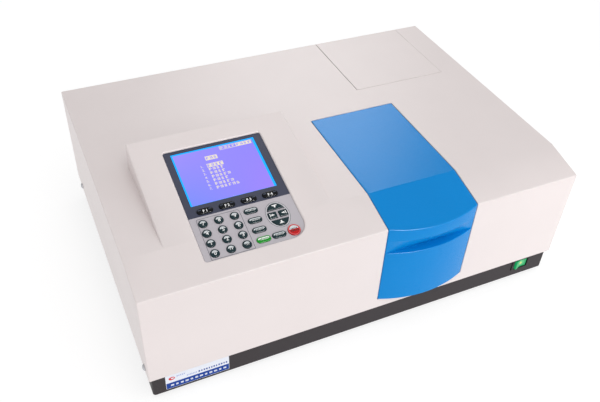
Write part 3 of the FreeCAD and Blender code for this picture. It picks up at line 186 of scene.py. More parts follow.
PAINT = surface("cover_paint", colour(226, 217, 216), 0.34, vary=0.01, grain=1500, specular=0.08)
BLACK_PAINT = surface("base_paint", colour(46, 40, 43), 0.5, grain=1300, depth=0.00006, strength=0.4,
                      specular=0.25)
BLUE = surface("lid_blue", colour(0, 131, 206), 0.3, vary=0.015, grain=1600, depth=0.00001,
               specular=0.12)
RUBBER = surface("foot_rubber", colour(34, 33, 34), 0.8, grain=500, depth=0.0001, strength=0.5)
ZINC = surface("screw_zinc", colour(196, 196, 200), 0.3, metal=1.0, grain=900, stretch=(1, 1, 8))
BLACK_PLASTIC = surface("black_plastic", colour(22, 21, 22), 0.42, grain=1200, specular=0.3)
LINING = surface("matt_lining", colour(24, 24, 26), 0.85, grain=800, depth=0.00008, strength=0.5)
ANODISED = surface("black_anodised", colour(34, 34, 37), 0.5, metal=0.6, grain=1400)
CAST = surface("cast_aluminium", colour(176, 176, 178), 0.5, metal=1.0, grain=420, depth=0.0001,
               strength=0.5)
STEEL = surface("sheet_steel", colour(188, 189, 192), 0.34, metal=1.0, grain=260, stretch=(1, 14, 14))
REAR_PAINT = surface("rear_paint", colour(196, 194, 193), 0.5, grain=1100, depth=0.00006)
BOARD = surface("circuit_board", colour(26, 96, 52), 0.4, vary=0.12, grain=300)
PANEL_LIGHT = surface("panel_grey", colour(183, 178, 184), 0.45, vary=0.015, grain=1500, specular=0.3)
PANEL_DARK = surface("panel_slate", colour(56, 60, 80), 0.42, vary=0.02, grain=1500, specular=0.25)
PRINT_DARK = surface("dark_print", colour(74, 78, 88), 0.5, vary=0.02, specular=0.2)
PRINT_BLACK = surface("black_print", colour(30, 26, 28), 0.5, vary=0.02, specular=0.2)
PRINT_WHITE = surface("white_print", colour(240, 240, 240), 0.45, vary=0.02)
# painted highlight: the pale patch on the upper part of the keys' caps stands in for their gloss highlight
PAINTED_KEY_HIGHLIGHT = surface("pale_print", colour(204, 209, 212), 0.4, vary=0.03)
# painted highlight: blue-grey marks beside the letters on the black F keys
PAINTED_F_KEY_HIGHLIGHT = surface("shine_print", colour(46, 58, 78), 0.3, vary=0.05)
# painted reflection: the pale pink ring just inside the red stop key's rim
PAINTED_RIM_REFLECTION = surface("painted_rim_reflection", colour(214, 86, 88), 0.4, vary=0.03)
PRINT_SILVER = surface("silver_print", colour(206, 205, 209), 0.4, vary=0.02)
KEY_DARK = surface("key_teal", colour(6, 40, 46), 0.3, vary=0.04, specular=0.25)
KEY_BLACK = surface("key_black", colour(8, 9, 14), 0.24, vary=0.05, specular=0.15)
KEY_GREEN = surface("key_green", colour(0, 142, 26), 0.3, vary=0.03, specular=0.25)
KEY_RED = surface("key_red", colour(188, 8, 14), 0.3, vary=0.03, specular=0.25)
LABEL_WHITE = surface("label_white", colour(226, 230, 240), 0.35, vary=0.01, specular=0.3)
LABEL_BLUE = surface("label_blue", colour(5, 60, 148), 0.35, vary=0.03, specular=0.12)
LABEL_RED = surface("label_red", colour(206, 36, 44), 0.35, vary=0.02, specular=0.25)
LABEL_PALE = surface("label_pale", colour(150, 166, 214), 0.35, vary=0.02, specular=0.25)
MIRROR = surface("mirror_coating", colour(236, 238, 242), 0.05, metal=1.0, vary=0.01, strength=0.02)


def make_rocker_green():
    """Translucent green plastic with a lamp behind its middle."""
    low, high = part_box("power_rocker")
    spot = Vector(((low.x + high.x) / 2, 0, (low.z + high.z) / 2))
    nodes = Nodes("rocker_green")
    flat = nodes.add("Mapping", Vector=nodes.place, Scale=(1, 0, 1)).outputs[0]
    away = nodes.tree.nodes.new("ShaderNodeVectorMath")
    away.operation = "DISTANCE"
    nodes.tree.links.new(flat, away.inputs[0])
    away.inputs[1].default_value = spot
    halo = nodes.span(away.outputs["Value"], 1, 0, (0.0030, 0.0085))
    core = nodes.span(away.outputs["Value"], 1, 0, (0.0016, 0.0032))
    glow = nodes.blend(core, nodes.blend(halo, colour(20, 150, 88), colour(110, 206, 140)),
                       colour(255, 222, 130))
    nodes.set(Base_Color=nodes.blend(nodes.noise(60, 2), colour(8, 96, 54), colour(14, 110, 62)),
              Roughness=0.3, Specular_IOR_Level=0.3, Emission_Color=glow, Emission_Strength=0.8,
              Normal=nodes.bump(nodes.noise(700, 2), 0.1, 0.00002))
    return nodes.material


def make_glass():
    nodes = Nodes("quartz_glass")
    cloud = nodes.noise(40, 2)
    nodes.set(Base_Color=nodes.blend(cloud, colour(236, 244, 248), colour(246, 250, 252)),
              Roughness=nodes.span(cloud, 0.01, 0.05), Transmission_Weight=0.9, IOR=1.46)
    return nodes.material


GLASS = make_glass()
ROCKER = make_rocker_green()

# ---- mesh tools --------------------------------------------------------------------------


def mesh_from(points, faces):
    mesh = bpy.data.meshes.new("mesh")
    mesh.from_pydata([tuple(point) for point in points], [], faces)
    mesh.update()
    return mesh


@contextmanager
def opened(mesh):
    """A mesh in its editable form, written back in the end."""
    work = bmesh.new()
    work.from_mesh(mesh)
    yield work
    work.to_mesh(mesh)
    work.free()
    mesh.update()


def face_outward(mesh):
    with opened(mesh) as work:
        bmesh.ops.recalc_face_normals(work, faces=work.faces)
    return mesh


def prism(outline, low, high, axis="z"):
    """An outline swept between two levels along an axis, as a closed mesh."""
    def place(first, second, level):
        return {"x": (level, first, second), "y": (first, level, second),
                "z": (first, second, level)}[axis]
    outline = [corner for index, corner in enumerate(outline)
               if math.dist(corner, outline[index - 1]) > 0.0005]
    count = len(outline)
    points = [place(*corner, level) for level in (low, high) for corner in outline]
    faces = [tuple(reversed(range(count))), tuple(range(count, 2 * count))]
    faces += [(index, (index + 1) % count, (index + 1) % count + count, index + count)
              for index in range(count)]
    return face_outward(mesh_from(points, faces))


def block(low, high):
    """A box between two corners."""
    return prism([(low[0], low[1]), (high[0], low[1]), (high[0], high[1]), (low[0], high[1])],
                 low[2], high[2])


def tube(centre, radius, length, axis, sides=24):
    """A cylinder that starts at a point and runs along an axis."""
    spare = {"x": (1, 2, 0), "y": (0, 2, 1), "z": (0, 1, 2)}[axis]
    ring = [(centre[spare[0]] + radius * math.cos(math.tau * step / sides),
             centre[spare[1]] + radius * math.sin(math.tau * step / sides))
            for step in range(sides)]
    return prism(ring, centre[spare[2]], centre[spare[2]] + length, axis)


def joined(*meshes):
    """Several meshes as one, each face keeping its material number."""
    work = bmesh.new()
    for mesh in meshes:
        work.from_mesh(mesh)
    result = bpy.data.meshes.new("joined")
    work.to_mesh(result)
    work.free()
    return result


def tinted(mesh, number):
    """The mesh with every face given one material number."""
    for face in mesh.polygons:
        face.material_index = number
    return mesh


def combined(mesh, tool, operation):
    """The mesh and a tool mesh joined by a boolean operation."""
    holders = []
    for data in (mesh, tool):
        holder = bpy.data.objects.new("holder", data)
        bpy.context.scene.collection.objects.link(holder)
        holders.append(holder)
    change = holders[0].modifiers.new("change", "BOOLEAN")
    change.operation = operation
    change.solver = "MANIFOLD"
    change.object = holders[1]
    graph = bpy.context.evaluated_depsgraph_get()
    result = bpy.data.meshes.new_from_object(holders[0].evaluated_get(graph))
    for holder in holders:
        bpy.data.objects.remove(holder)
    return result


def less(mesh, *tools):
    for tool in tools:
        mesh = combined(mesh, tool, "DIFFERENCE")
    return mesh


def with_added(mesh, *parts):
    for part in parts:
        mesh = combined(mesh, part, "UNION")
    return mesh


def softened(mesh, radius, segments, wanted):
    """The mesh with the edges that a test picks rounded off."""
    with opened(mesh) as work:
        bmesh.ops.remove_doubles(work, verts=work.verts, dist=0.001)
        bmesh.ops.dissolve_limit(work, angle_limit=0.002, verts=work.verts, edges=work.edges)
        edges = [edge for edge in work.edges if len(edge.link_faces) == 2 and wanted(edge)]
        bmesh.ops.bevel(work, geom=edges, offset=radius, segments=segments, profile=0.5,
                        affect="EDGES", clamp_overlap=True)
    return mesh


def middle_of(edge):
    return (edge.verts[0].co + edge.verts[1].co) / 2


def run_of(edge):
    return (edge.verts[1].co - edge.verts[0].co).normalized()


def sharp(edge, least=40):
    return edge.calc_face_angle(0) > math.radians(least)


def at_level(axis, level):
    """A test for the edges of a face that is square to an axis."""
    return lambda edge: sharp(edge, 60) and abs(middle_of(edge)[axis] - level) < 0.01


def upright(edge):
    return abs(run_of(edge).z) > 0.99


def on_crease(spot):
    """Whether a spot is on the crease between the sloping front and the flat top."""
    return abs(spot.y - CREASE) < 0.01 and abs(spot.z - TOP) < 0.01


def piece(name, mesh, materials, body, replaced, place=CABINET, angle=35, crisp=None):
    """A finished piece: its mesh taken to the frame, smoothed, given materials and a body."""
    points = [corner.co.copy() for corner in mesh.vertices]
    kept_sharp = [edge.index for edge in mesh.edges
                  if crisp and crisp((points[edge.vertices[0]] + points[edge.vertices[1]]) / 2)]
    mesh.transform(place)
    mesh.name = name
    mesh.shade_smooth()
    mesh.set_sharp_from_angle(angle=math.radians(angle))
    for index in kept_sharp:
        mesh.edges[index].use_edge_sharp = True
    item = bpy.data.objects.new(name, mesh)
    bpy.context.scene.collection.objects.link(item)
    numbers = [face.material_index for face in mesh.polygons]
    mesh.materials.clear()
    for material in materials:
        mesh.materials.append(material)
    mesh.polygons.foreach_set("material_index", numbers)
    even = item.modifiers.new("even_shading", "WEIGHTED_NORMAL")
    even.keep_sharp = True
    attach(item, body)
    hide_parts(replaced)


def give(node, material):
    """Put one material on a CAD node."""
    item = frame["nodes"][node]
    if not item.material_slots:
        item.data.materials.append(material)
    for holder in item.material_slots:
        holder.material = material


# ---- outlines ----------------------------------------------------------------------------

def arc_points(centre, radius, start, end, steps):
    """Points along an arc, angles in degrees."""
    return [(centre[0] + radius * math.cos(math.radians(start + (end - start) * step / steps)),
             centre[1] + radius * math.sin(math.radians(start + (end - start) * step / steps)))
            for step in range(steps + 1)]


def rounded_rectangle(low, high, radii, steps=8):
    """An outline whose corners, from the low one anticlockwise, have these radii."""
    corners = ((low[0], low[1], 1, 1, 180), (high[0], low[1], -1, 1, 270),
               (high[0], high[1], -1, -1, 0), (low[0], high[1], 1, -1, 90))
    outline = []
    for (x, y, side_x, side_y, start), radius in zip(corners, radii):
        outline += arc_points((x + side_x * radius, y + side_y * radius), radius, start,
                              start + 90, steps)
    return outline


def circle(centre, radius):
    return arc_points(centre, radius, 0, 350, 35)


def ellipse(centre, half):
    return [(centre[0] + half[0] * x, centre[1] + half[1] * y) for x, y in circle((0, 0), 1)]


def centred(centre, size, radius, steps):
    """The outline of a rounded rectangle round a spot."""
    half = Vector(size) / 2
    return rounded_rectangle(Vector(centre) - half, Vector(centre) + half, (radius,) * 4, steps)


def lid_front(x, inset=0.0):
    """How far the lid's bulging front stands before the front face, at a place across it."""
    half = (lid_high.x - lid_low.x) / 2
    radius = (half ** 2 + BULGE ** 2) / (2 * BULGE)
    across = x - (lid_high.x + lid_low.x) / 2
    return BULGE - radius + math.sqrt(max(0, (radius - inset) ** 2 - across ** 2))


def rounded_trace(corners):
    """A closed outline whose corners, given as (y, z, radius, steps), are rounded off."""
    outline = []
    for index, (y, z, radius, steps) in enumerate(corners):
        here = Vector((y, z))
        back = Vector(corners[index - 1][:2]) - here
        ahead = Vector(corners[(index + 1) % len(corners)][:2]) - here
        room = 0.45 * min(back.length, ahead.length)
        if not steps or room < 1e-5 or back.angle(ahead) > math.radians(179.8):
            outline += [here] * (steps + 1)
            continue
        back.normalize()
        ahead.normalize()
        half = back.angle(ahead) / 2
        reach = min(radius / math.tan(half), room)
        radius = reach * math.tan(half)
        centre = here + (back + ahead).normalized() * radius / math.sin(half)
        first = here + back * reach - centre
        turn = (here + ahead * reach - centre).angle_signed(first)
        for step in range(steps + 1):
            outline.append(centre + Matrix.Rotation(turn * step / steps, 2) @ first)
    return outline


def shrunk(outline, inset):
    """The closed outline moved inwards, where its inside lies to the left as it runs."""
    count = len(outline)
    result = []
    for index, here in enumerate(outline):
        sides = []
        for way in (-1, 1):
            step = way
            while (outline[(index + step) % count] - here).length < 1e-4:
                step += way
            sides.append((outline[(index + step) % count] - here).normalized())
        before = Vector((sides[0].y, -sides[0].x))
        after = Vector((-sides[1].y, sides[1].x))
        normal = (before + after).normalized()
        stretch = max(0.5, normal.dot(after))
        result.append(here + normal * inset / stretch)
    return result


def skin(rings):
    """A closed surface over rings of equally many points."""
    count = len(rings[0])
    points = [point for ring in rings for point in ring]
    faces = []
    for row in range(len(rings) - 1):
        low, high = row * count, (row + 1) * count
        faces += [(low + index, low + (index + 1) % count, high + (index + 1) % count, high + index)
                  for index in range(count)]
    faces += [tuple(reversed(range(count))), tuple(range(len(points) - count, len(points)))]
    mesh = mesh_from(points, faces)
    with opened(mesh) as work:
        bmesh.ops.remove_doubles(work, verts=work.verts, dist=0.0005)
        bmesh.ops.dissolve_degenerate(work, edges=work.edges, dist=0.0005)
        bmesh.ops.recalc_face_normals(work, faces=work.faces)
    return mesh


def lathe(profile, sides=48):
    """A solid of revolution about z from (radius, z) pairs that run from axis to axis."""
    rings = [[(radius * math.cos(math.tau * step / sides), radius * math.sin(math.tau * step / sides), z)
              for step in range(sides)] for radius, z in profile]
    return skin(rings)


# ---- cover, base and feet ----------------------------------------------------------------

# the two openings in the cover's top, each from its low corner to its high corner
LID_OPENING = ((lid_low.x - GAP, -5, lid_low.z - GAP),
               (lid_high.x + GAP, lid_high.y + GAP, TOP + 60))
HATCH_OPENING = ((hatch_low.x - GAP, hatch_low.y - HATCH_GAP, hatch_low.z - GAP),
                 (hatch_high.x + HATCH_GAP, DEPTH + 5, TOP + 60))
PANEL_GAP = 0.3
REAR_OPENING = ((40, 62), (400, 178))
SCREWS = (17, 412.5)
SCREW_HEIGHT = 48.8
INNER_CREASE = CREASE + (WALL / math.cos(SLOPE) - WALL) / math.tan(SLOPE)


def top_box(node):
    """Where a node's highest face lies in the console's frame, as low and high x and y."""
    place = CONSOLE.inverted()
    points = [place @ corner.co for corner in frame["nodes"][node].data.vertices]
    highest = max(point.z for point in points)
    tops = [point for point in points if point.z > highest - 0.05]
    return (Vector((min(point.x for point in tops), min(point.y for point in tops))),
            Vector((max(point.x for point in tops), max(point.y for point in tops))))


field_low, field_high = top_box("display_panel")
WINDOW = ((field_low.x - PANEL_GAP, field_low.y - PANEL_GAP),
          (field_high.x + PANEL_GAP, field_high.y + PANEL_GAP))


def inner_slope_height(y):
    return slope_height(y) - WALL / math.cos(SLOPE)


def inner_front(floor):
    """The profile of the hollow behind the front face and the slope, up to the flat top."""
    return [(WALL, floor), (WALL, inner_slope_height(WALL)), (INNER_CREASE, TOP - WALL)]


def window_outline(gap=0.0):
    low = (WINDOW[0][0] + gap, WINDOW[0][1] + gap)
    high = (WINDOW[1][0] - gap, WINDOW[1][1] - gap)
    return rounded_rectangle(low, high, (3 - gap, 24 - gap, 3 - gap, 3 - gap), 12)


def leant(mesh):
    mesh.transform(LEAN)
    return mesh


def on_window(spot):
    """Whether a spot is on the outer rim of the panel's window."""
    local = LEAN.inverted() @ spot
    return (abs(local.z) < 0.05 and WINDOW[0][0] - 1 < local.x < WINDOW[1][0] + 1
            and WINDOW[0][1] - 1 < local.y < WINDOW[1][1] + 1)


def on_cover_opening(edge):
    """Whether an edge is an outer edge of the lid's, the hatch's or the rear panel's opening."""
    if not sharp(edge):
        return False
    spot = middle_of(edge)
    lean_depth = (slope_height(spot.y) - spot.z) * math.cos(SLOPE)
    if min(spot.y, TOP - spot.z, lean_depth, DEPTH - spot.y) > WALL / 2 + 0.1:
        return False
    for low, high in (LID_OPENING, HATCH_OPENING):
        if all(low[axis] - 0.1 < spot[axis] < high[axis] + 0.1 for axis in range(3)):
            if min(abs(spot[axis] - side[axis]) for side in (low, high) for axis in range(3)) < 0.05:
                return True
    low, high = REAR_OPENING
    return (abs(spot.y - DEPTH) < 0.05 and low[0] - 0.1 < spot.x < high[0] + 0.1
            and low[1] - 0.1 < spot.z < high[1] + 0.1)


def screw_holes(radius):
    return [tube((-1, y, SCREW_HEIGHT), radius, WIDTH + 2, "x") for y in SCREWS]


def make_cover():
    mesh = prism([(0, BASE_HEIGHT), (0, FRONT_HEIGHT), (CREASE, TOP), (DEPTH, TOP),
                  (DEPTH, BASE_HEIGHT)], 0, WIDTH, "x")
    softened(mesh, 1.9, 5, upright)
    softened(mesh, 1.6, 4, lambda edge: sharp(edge) and middle_of(edge).z > BASE_HEIGHT + 1)
    wedge = prism([(CREASE, TOP), (CONSOLE_REAR, slope_height(CONSOLE_REAR)),
                   (CONSOLE_REAR, TOP - 8), (CREASE, TOP - 8)], *CONSOLE_X, "x")

    def wedge_edge(edge):
        spot, run = middle_of(edge), run_of(edge)
        side = abs(run.x) < 0.01 and run.y ** 2 > 0.5 and spot.z > TOP + 1
        rear = abs(spot.y - CONSOLE_REAR) < 0.01 and spot.z > TOP
        return side or rear
    softened(wedge, 2.2, 5, wedge_edge)
    mesh = with_added(mesh, wedge)
    hollow = prism([*inner_front(BASE_HEIGHT - 1), (DEPTH - WALL, TOP - WALL),
                    (DEPTH - WALL, BASE_HEIGHT - 1)], WALL, WIDTH - WALL, "x")
    near, rear = INNER_CREASE + 3, CONSOLE_REAR - WALL
    wedge_hollow = prism([(near, TOP - WALL - 1), (near, inner_slope_height(near)),
                          (rear, inner_slope_height(rear)), (rear, TOP - WALL - 1)],
                         CONSOLE_X[0] + WALL, CONSOLE_X[1] - WALL, "x")
    tools = [hollow, wedge_hollow, block(*LID_OPENING), block(*HATCH_OPENING)]
    tools.append(leant(prism(window_outline(), -9, 9)))
    (x_low, z_low), (x_high, z_high) = REAR_OPENING
    tools.append(block((x_low, DEPTH - 2 * WALL, z_low), (x_high, DEPTH + 1, z_high)))
    tools += screw_holes(2.3)
    mesh = less(mesh, *tools)
    softened(mesh, 2.3, 6, lambda edge: sharp(edge) and on_window(middle_of(edge)))
    softened(mesh, 0.5, 3, on_cover_opening)
    piece("painted_cover", mesh, [PAINT], "cabinet", "top_shell", crisp=on_crease)


def make_base():
    near = (pan_low.x - shell_low.x) * 1000
    far, back = WIDTH - near, DEPTH - near
    mesh = block((near, near, 0), (far, back, 54))
    softened(mesh, 4, 6, upright)
    softened(mesh, 1.2, 3, lambda edge: sharp(edge) and middle_of(edge).z < 1)
    tools = [block((near + WALL, near + WALL, WALL), (far - WALL, back - WALL, 60))]
    switch_low, switch_high = cabinet_box("switch_housing")
    centre = (switch_low.x + switch_high.x) / 2, (switch_low.z + switch_high.z) / 2
    tools.append(block((centre[0] - 14.7, near - 1, centre[1] - 10.45),
                       (centre[0] + 14.7, near + 6, centre[1] + 10.45)))
    tools += screw_holes(2.05)
    tools += [block((200 + 12 * index, 380, -1), (206 + 12 * index, 430, 5)) for index in range(8)]
    mesh = less(mesh, *tools)
    piece("base_tray", mesh, [BLACK_PAINT], "cabinet", "base_pan")


def make_feet():
    feet = []
    for x in (46, WIDTH - 46):
        for y in (46, DEPTH - 46):
            foot = lathe([(0, 0), (14, 0), (13.8, -1), (12.4, -6.9), (11.9, -7.6), (11.2, -8),
                          (5, -8), (4.4, -7), (0, -7)])
            foot.transform(Matrix.Translation((x, y, 0)))
            feet.append(foot)
    piece("rubber_feet", joined(*feet), [RUBBER], "cabinet", "feet")


def make_screws():
    head = lathe([(0, -8), (2, -8), (2, 0), (4.4, 0), (4.6, 0.3), (4.6, 1), (4.2, 1.9), (3.2, 2.6),
                  (1.8, 2.95), (0, 3)])
    head = less(head, block((-2.4, -0.45, 1.6), (2.4, 0.45, 4)), block((-0.45, -2.4, 1.6), (0.45, 2.4, 4)))
    screws = []
    for y in SCREWS:
        for x, turn in ((0, -90), (WIDTH, 90)):
            screw = head.copy()
            screw.transform(Matrix.Translation((x, y, SCREW_HEIGHT))
                            @ Matrix.Rotation(math.radians(turn), 4, "Y")
                            @ Matrix.Rotation(math.radians(25 + y), 4, "Z"))
            screws.append(screw)
    piece("cover_screws", joined(*screws), [ZINC], "cabinet", "side_screws")


# ---- lids --------------------------------------------------------------------------------

GROOVE, BAND = 147.5, 170.5


def lid_section(front):
    """The lid's outer outline, seen from its side, where its front stands this far forward."""
    return rounded_trace([
        (front, slope_height(front), 2.2, 5), (front, BAND, 1.3, 3), (0, GROOVE, 0, 0),
        (front, GROOVE, 1.3, 3), (front, lid_low.z, 0.8, 2), (12, lid_low.z, 0.4, 1),
        (12, slope_height(12) - 12, 0, 0), (CREASE, TOP - 12, 0, 0), (204, TOP - 12, 0, 0),
        (204, TOP - WALL, 0, 0), (lid_high.y - 2, TOP - WALL, 0, 0), (lid_high.y, TOP - 1, 0, 0),
        (lid_high.y, TOP, 0.9, 3), (CREASE, TOP, 0, 0)])


def make_lid():
    left, right, edge = lid_low.x, lid_high.x, 0.9
    columns = [(left + edge * (1 - math.sin(math.radians(angle))),
                edge * (1 - math.cos(math.radians(angle)))) for angle in (90, 67.5, 45, 22.5)]
    span = right - left - 2 * edge
    inner = [(left + edge + span * step / 48, 0) for step in range(49)]
    columns += inner + [(left + right - x, inset) for x, inset in reversed(columns)]
    rings = [[(x, *point) for point in shrunk(lid_section(-lid_front(x)), inset)]
             for x, inset in columns]
    mesh = skin(rings)
    rear = lid_high.y - 2 * WALL
    hollow = prism([*inner_front(lid_low.z - 1), (rear, TOP - WALL), (rear, TOP - 13), (13, TOP - 24),
                    (13, lid_low.z - 1)], left + WALL, right - WALL, "x")
    across = [left + 12 + (right - left - 24) * step / 24 for step in range(25)]
    behind = [(x, -lid_front(x, WALL)) for x in across] + [(across[-1], 4), (across[0], 4)]
    mesh = less(mesh, hollow, prism(behind, lid_low.z - 1, GROOVE - WALL))
    piece("blue_lid", mesh, [BLUE], "lid", "sample_lid", crisp=on_crease)


def make_hatch():
    left, right, front = hatch_low.x, hatch_high.x, hatch_low.y
    outline = rounded_trace([(front, TOP, 0, 0), (DEPTH, TOP, 1.6, 4), (DEPTH, hatch_low.z, 0, 0),
                             (DEPTH - WALL, hatch_low.z, 0, 0), (DEPTH - WALL, TOP - WALL, 0, 0),
                             (front, TOP - WALL, 0, 0)])
    mesh = prism(outline, left, right, "x")
    for x in (left, right - WALL):
        flange = block((x, front, TOP - 11), (x + WALL, DEPTH - WALL / 2, TOP - WALL / 2))
        mesh = with_added(mesh, flange)
    for index in range(5):
        low = hatch_low.z + 10 + 9 * index
        slot = rounded_rectangle((left + 18, low), (right - 18, low + 4), (2, 2, 2, 2), 5)
        mesh = less(mesh, prism(slot, DEPTH - 1.5 * WALL, DEPTH + 1, "y"))

    def rim(edge):
        spot = middle_of(edge)
        outer = max(spot.z - TOP, spot.y - DEPTH) > -1.2
        return outer and sharp(edge)
    softened(mesh, 0.4, 3, rim)
    piece("lamp_lid", mesh, [PAINT], "lamp_hatch", "lamp_cover")


# ---- console -----------------------------------------------------------------------------

PANEL_TOP = -2.0
CAP_TOP = -0.45
TWO_TONE = 96.5             # where the panel's grey gives way to slate
DISPLAY = ((102.9, 114.8), (223.2, 205.8))      # the opening in the panel, low and high corner


def pill(low, high, grow=0.0):
    """An outline with round ends, or a circle, between two corners."""
    radius = (high[1] - low[1]) / 2
    middle = (low[1] + high[1]) / 2
    if high[0] - low[0] < 2 * radius + 0.1:
        return circle(((low[0] + high[0]) / 2, middle), radius + grow)
    return (arc_points((high[0] - radius, middle), radius + grow, -90, 90, 16)
            + arc_points((low[0] + radius, middle), radius + grow, 90, 270, 16))


ARROW_BOXES = {side: top_box("key_" + side) for side in ("up", "down", "left", "right")}
ARROW_CENTRE = Vector(((ARROW_BOXES["left"][0].x + ARROW_BOXES["right"][1].x) / 2,
                       (ARROW_BOXES["down"][0].y + ARROW_BOXES["up"][1].y) / 2))
ARROW_HALF = Vector((ARROW_BOXES["right"][1].x, ARROW_BOXES["up"][1].y)) - ARROW_CENTRE


def oval(grow, start, end, steps):
    """Points along the cursor pad's rim, about its own centre."""
    return [(x * (ARROW_HALF.x + grow), y * (ARROW_HALF.y + grow))
            for x, y in arc_points((0, 0), 1, start, end, steps)]


def eased(outline, reach, steps=4):
    """The outline with each sharp corner turned into a short curve."""
    points = [Vector(point) for point in outline]
    neighbours = list(zip([points[-1], *points], points, [*points[1:], points[0]]))
    corners = [here for back, here, ahead in neighbours if (here - back).angle(ahead - here) > 0.6]
    result = []
    for back, here, ahead in neighbours:
        if here in corners:
            start = here + (back - here).normalized() * reach
            end = here + (ahead - here).normalized() * reach
            for share in (step / steps for step in range(steps + 1)):
                result.append(start.lerp(here, share).lerp(here.lerp(end, share), share))
        elif all((here - corner).length > 1.15 * reach for corner in corners):
            result.append(here)
    return [tuple(point) for point in result]


def arrow_outline(side, grow=0.0):
    """The outline of one piece of the oval cursor pad."""
    low, high = (corner - ARROW_CENTRE for corner in ARROW_BOXES[side])
    if side in ("up", "down"):
        flat = (low.y if side == "up" else -high.y) - grow
        angle = math.degrees(math.asin(flat / (ARROW_HALF.y + grow)))
        outline = oval(grow, angle, 180 - angle, 40)
    else:
        half = high.y + grow
        angle = math.degrees(math.asin(half / (ARROW_HALF.y + grow)))
        near = (low.x if side == "right" else -high.x) - grow
        outline = [(near, half), (near, -half)] + oval(grow, -angle, angle, 16)
    if side in ("down", "left"):
        outline = [(-x, -y) for x, y in outline]
    outline = eased(outline, 0.7 + grow)
    return [(x + ARROW_CENTRE.x, y + ARROW_CENTRE.y) for x, y in outline]


def key_outline(node, grow=0.0):
    side = node.removeprefix("key_")
    if side in ARROW_BOXES:
        return arrow_outline(side, grow)
    return pill(*top_box(node), grow)


def inset_outline(outline, amount):
    """A convex outline moved inwards by the same amount all round."""
    return [tuple(point) for point in shrunk([Vector(point) for point in outline], amount)]


def key_cap(node, crown=0.12, edge=0.7):
    """A key's cap with a rounded rim and a slight crown, its flange and its stem."""
    outline = key_outline(node)
    centre = sum((Vector(point) for point in outline), Vector((0, 0))) / len(outline)
    low, high = top_box(node)
    stem = (low + high) / 2
    flange_top, flange_low, foot = -5.2, -6.2, -7.6
    ring = [(Vector(point) - stem).normalized() * 1.4 + stem for point in outline]
    wide = inset_outline(outline, -0.6)
    rings = [[(*point, foot) for point in ring], [(*point, flange_low) for point in ring],
             [(*point, flange_low) for point in wide], [(*point, flange_top) for point in wide],
             [(*point, flange_top) for point in outline]]
    shoulder = CAP_TOP - crown - edge
    for angle in (0, 22.5, 45, 67.5, 90):
        turn = math.radians(angle)
        rings.append([(*point, shoulder + edge * math.sin(turn))
                      for point in inset_outline(outline, edge * (1 - math.cos(turn)))])
    rim = [Vector(point[:2]) for point in rings[-1]]
    for share in (0.8, 0.55, 0.3, 0.1):
        rings.append([(*(centre + (point - centre) * share), CAP_TOP - crown * share ** 2)
                      for point in rim])
    return skin(rings)


def strip(outline, width, low, high):
    """A thin line that follows a closed convex outline on its inside."""
    inner = inset_outline(outline, width)
    count = len(outline)
    points = [(*point, level) for level in (low, high) for ring in (outline, inner) for point in ring]
    faces = []
    for index in range(count):
        after = (index + 1) % count
        out_low, in_low = index, index + count
        out_high, in_high = index + 2 * count, index + 3 * count
        faces += [(out_low, after, after + 2 * count, out_high),
                  (in_low, in_high, after + 3 * count, after + count),
                  (out_high, after + 2 * count, after + 3 * count, in_high),
                  (out_low, in_low, after + count, after)]
    return face_outward(mesh_from(points, faces))


def lettering(words, size, centre, low, high, weight):
    """Words in the plain built-in font as a thin solid, centred on a spot."""
    curve = bpy.data.curves.new("lettering", "FONT")
    curve.body, curve.size = words, size
    curve.align_x, curve.align_y = "CENTER", "CENTER"
    curve.extrude = (high - low) / 2
    curve.offset = weight * size
    curve.resolution_u = 5
    holder = bpy.data.objects.new("lettering", curve)
    bpy.context.scene.collection.objects.link(holder)
    graph = bpy.context.evaluated_depsgraph_get()
    mesh = bpy.data.meshes.new_from_object(holder.evaluated_get(graph))
    bpy.data.objects.remove(holder)
    xs = [corner.co.x for corner in mesh.vertices]
    ys = [corner.co.y for corner in mesh.vertices]
    mesh.transform(Matrix.Translation((centre[0] - (min(xs) + max(xs)) / 2,
                                       centre[1] - (min(ys) + max(ys)) / 2, (low + high) / 2)))
    return mesh


def bar(centre, size):
    """The outline of a bar with rounded corners, standing in for a letter or a word."""
    return centred(centre, size, 0.3, 3)


def row_of_marks(centre, size, count):
    """Outlines of a row of upright dashes of uneven width, standing in for a word's letters."""
    pitch = size[0] / count
    return [bar((centre[0] + (index - (count - 1) / 2) * pitch, centre[1]),
                (pitch * (0.62 if index % 3 else 0.45), size[1])) for index in range(count)]


def upper_part(outline, floor):
    """The part of a convex outline above a height."""
    kept = []
    for index, here in enumerate(outline):
        back = outline[index - 1]
        if (here[1] > floor) != (back[1] > floor):
            share = (floor - back[1]) / (here[1] - back[1])
            kept.append((back[0] + (here[0] - back[0]) * share, floor))
        if here[1] > floor:
            kept.append(here)
    return kept


PRINT_DEPTH = 0.13          # how far a print reaches down into its cap
PRINT_RISE = 0.012          # how far each layer of print stands out of the one below
# material numbers on a key: white print, painted highlight, dark print and a ring of painted reflection
WHITE_PRINT, PAINTED_HIGHLIGHT, DARK_PRINT, REFLECTION_RIM = 1, 2, 3, 4
ARROW_MARKS = {
    "up": [[(-3.3, 2.0), (3.3, 2.0), (3.3, 0.8), (1.0, 0.1), (1.0, -2.3), (-1.0, -2.3), (-1.0, 0.1),
            (-3.3, 0.8)]],
    "down": [[(-3.4, -2.2), (3.4, -2.2), (0.9, 0.4), (0.9, 2.3), (-0.9, 2.3), (-0.9, 0.4)]],
    "left": [[(-3.9, -2.4), (-2.8, -2.4), (-2.8, 2.4), (-3.9, 2.4)],
             [(-2.6, 0), (0.2, -1.9), (0.2, -0.7), (2.2, -0.7), (2.2, 0.7), (0.2, 0.7), (0.2, 1.9)]],
    "right": [[(3.9, -2.4), (3.9, 2.4), (2.8, 2.4), (2.8, -2.4)],
              [(2.6, 0), (0.2, 1.9), (0.2, 0.7), (-2.2, 0.7), (-2.2, -0.7), (0.2, -0.7), (0.2, -1.9)]],
}


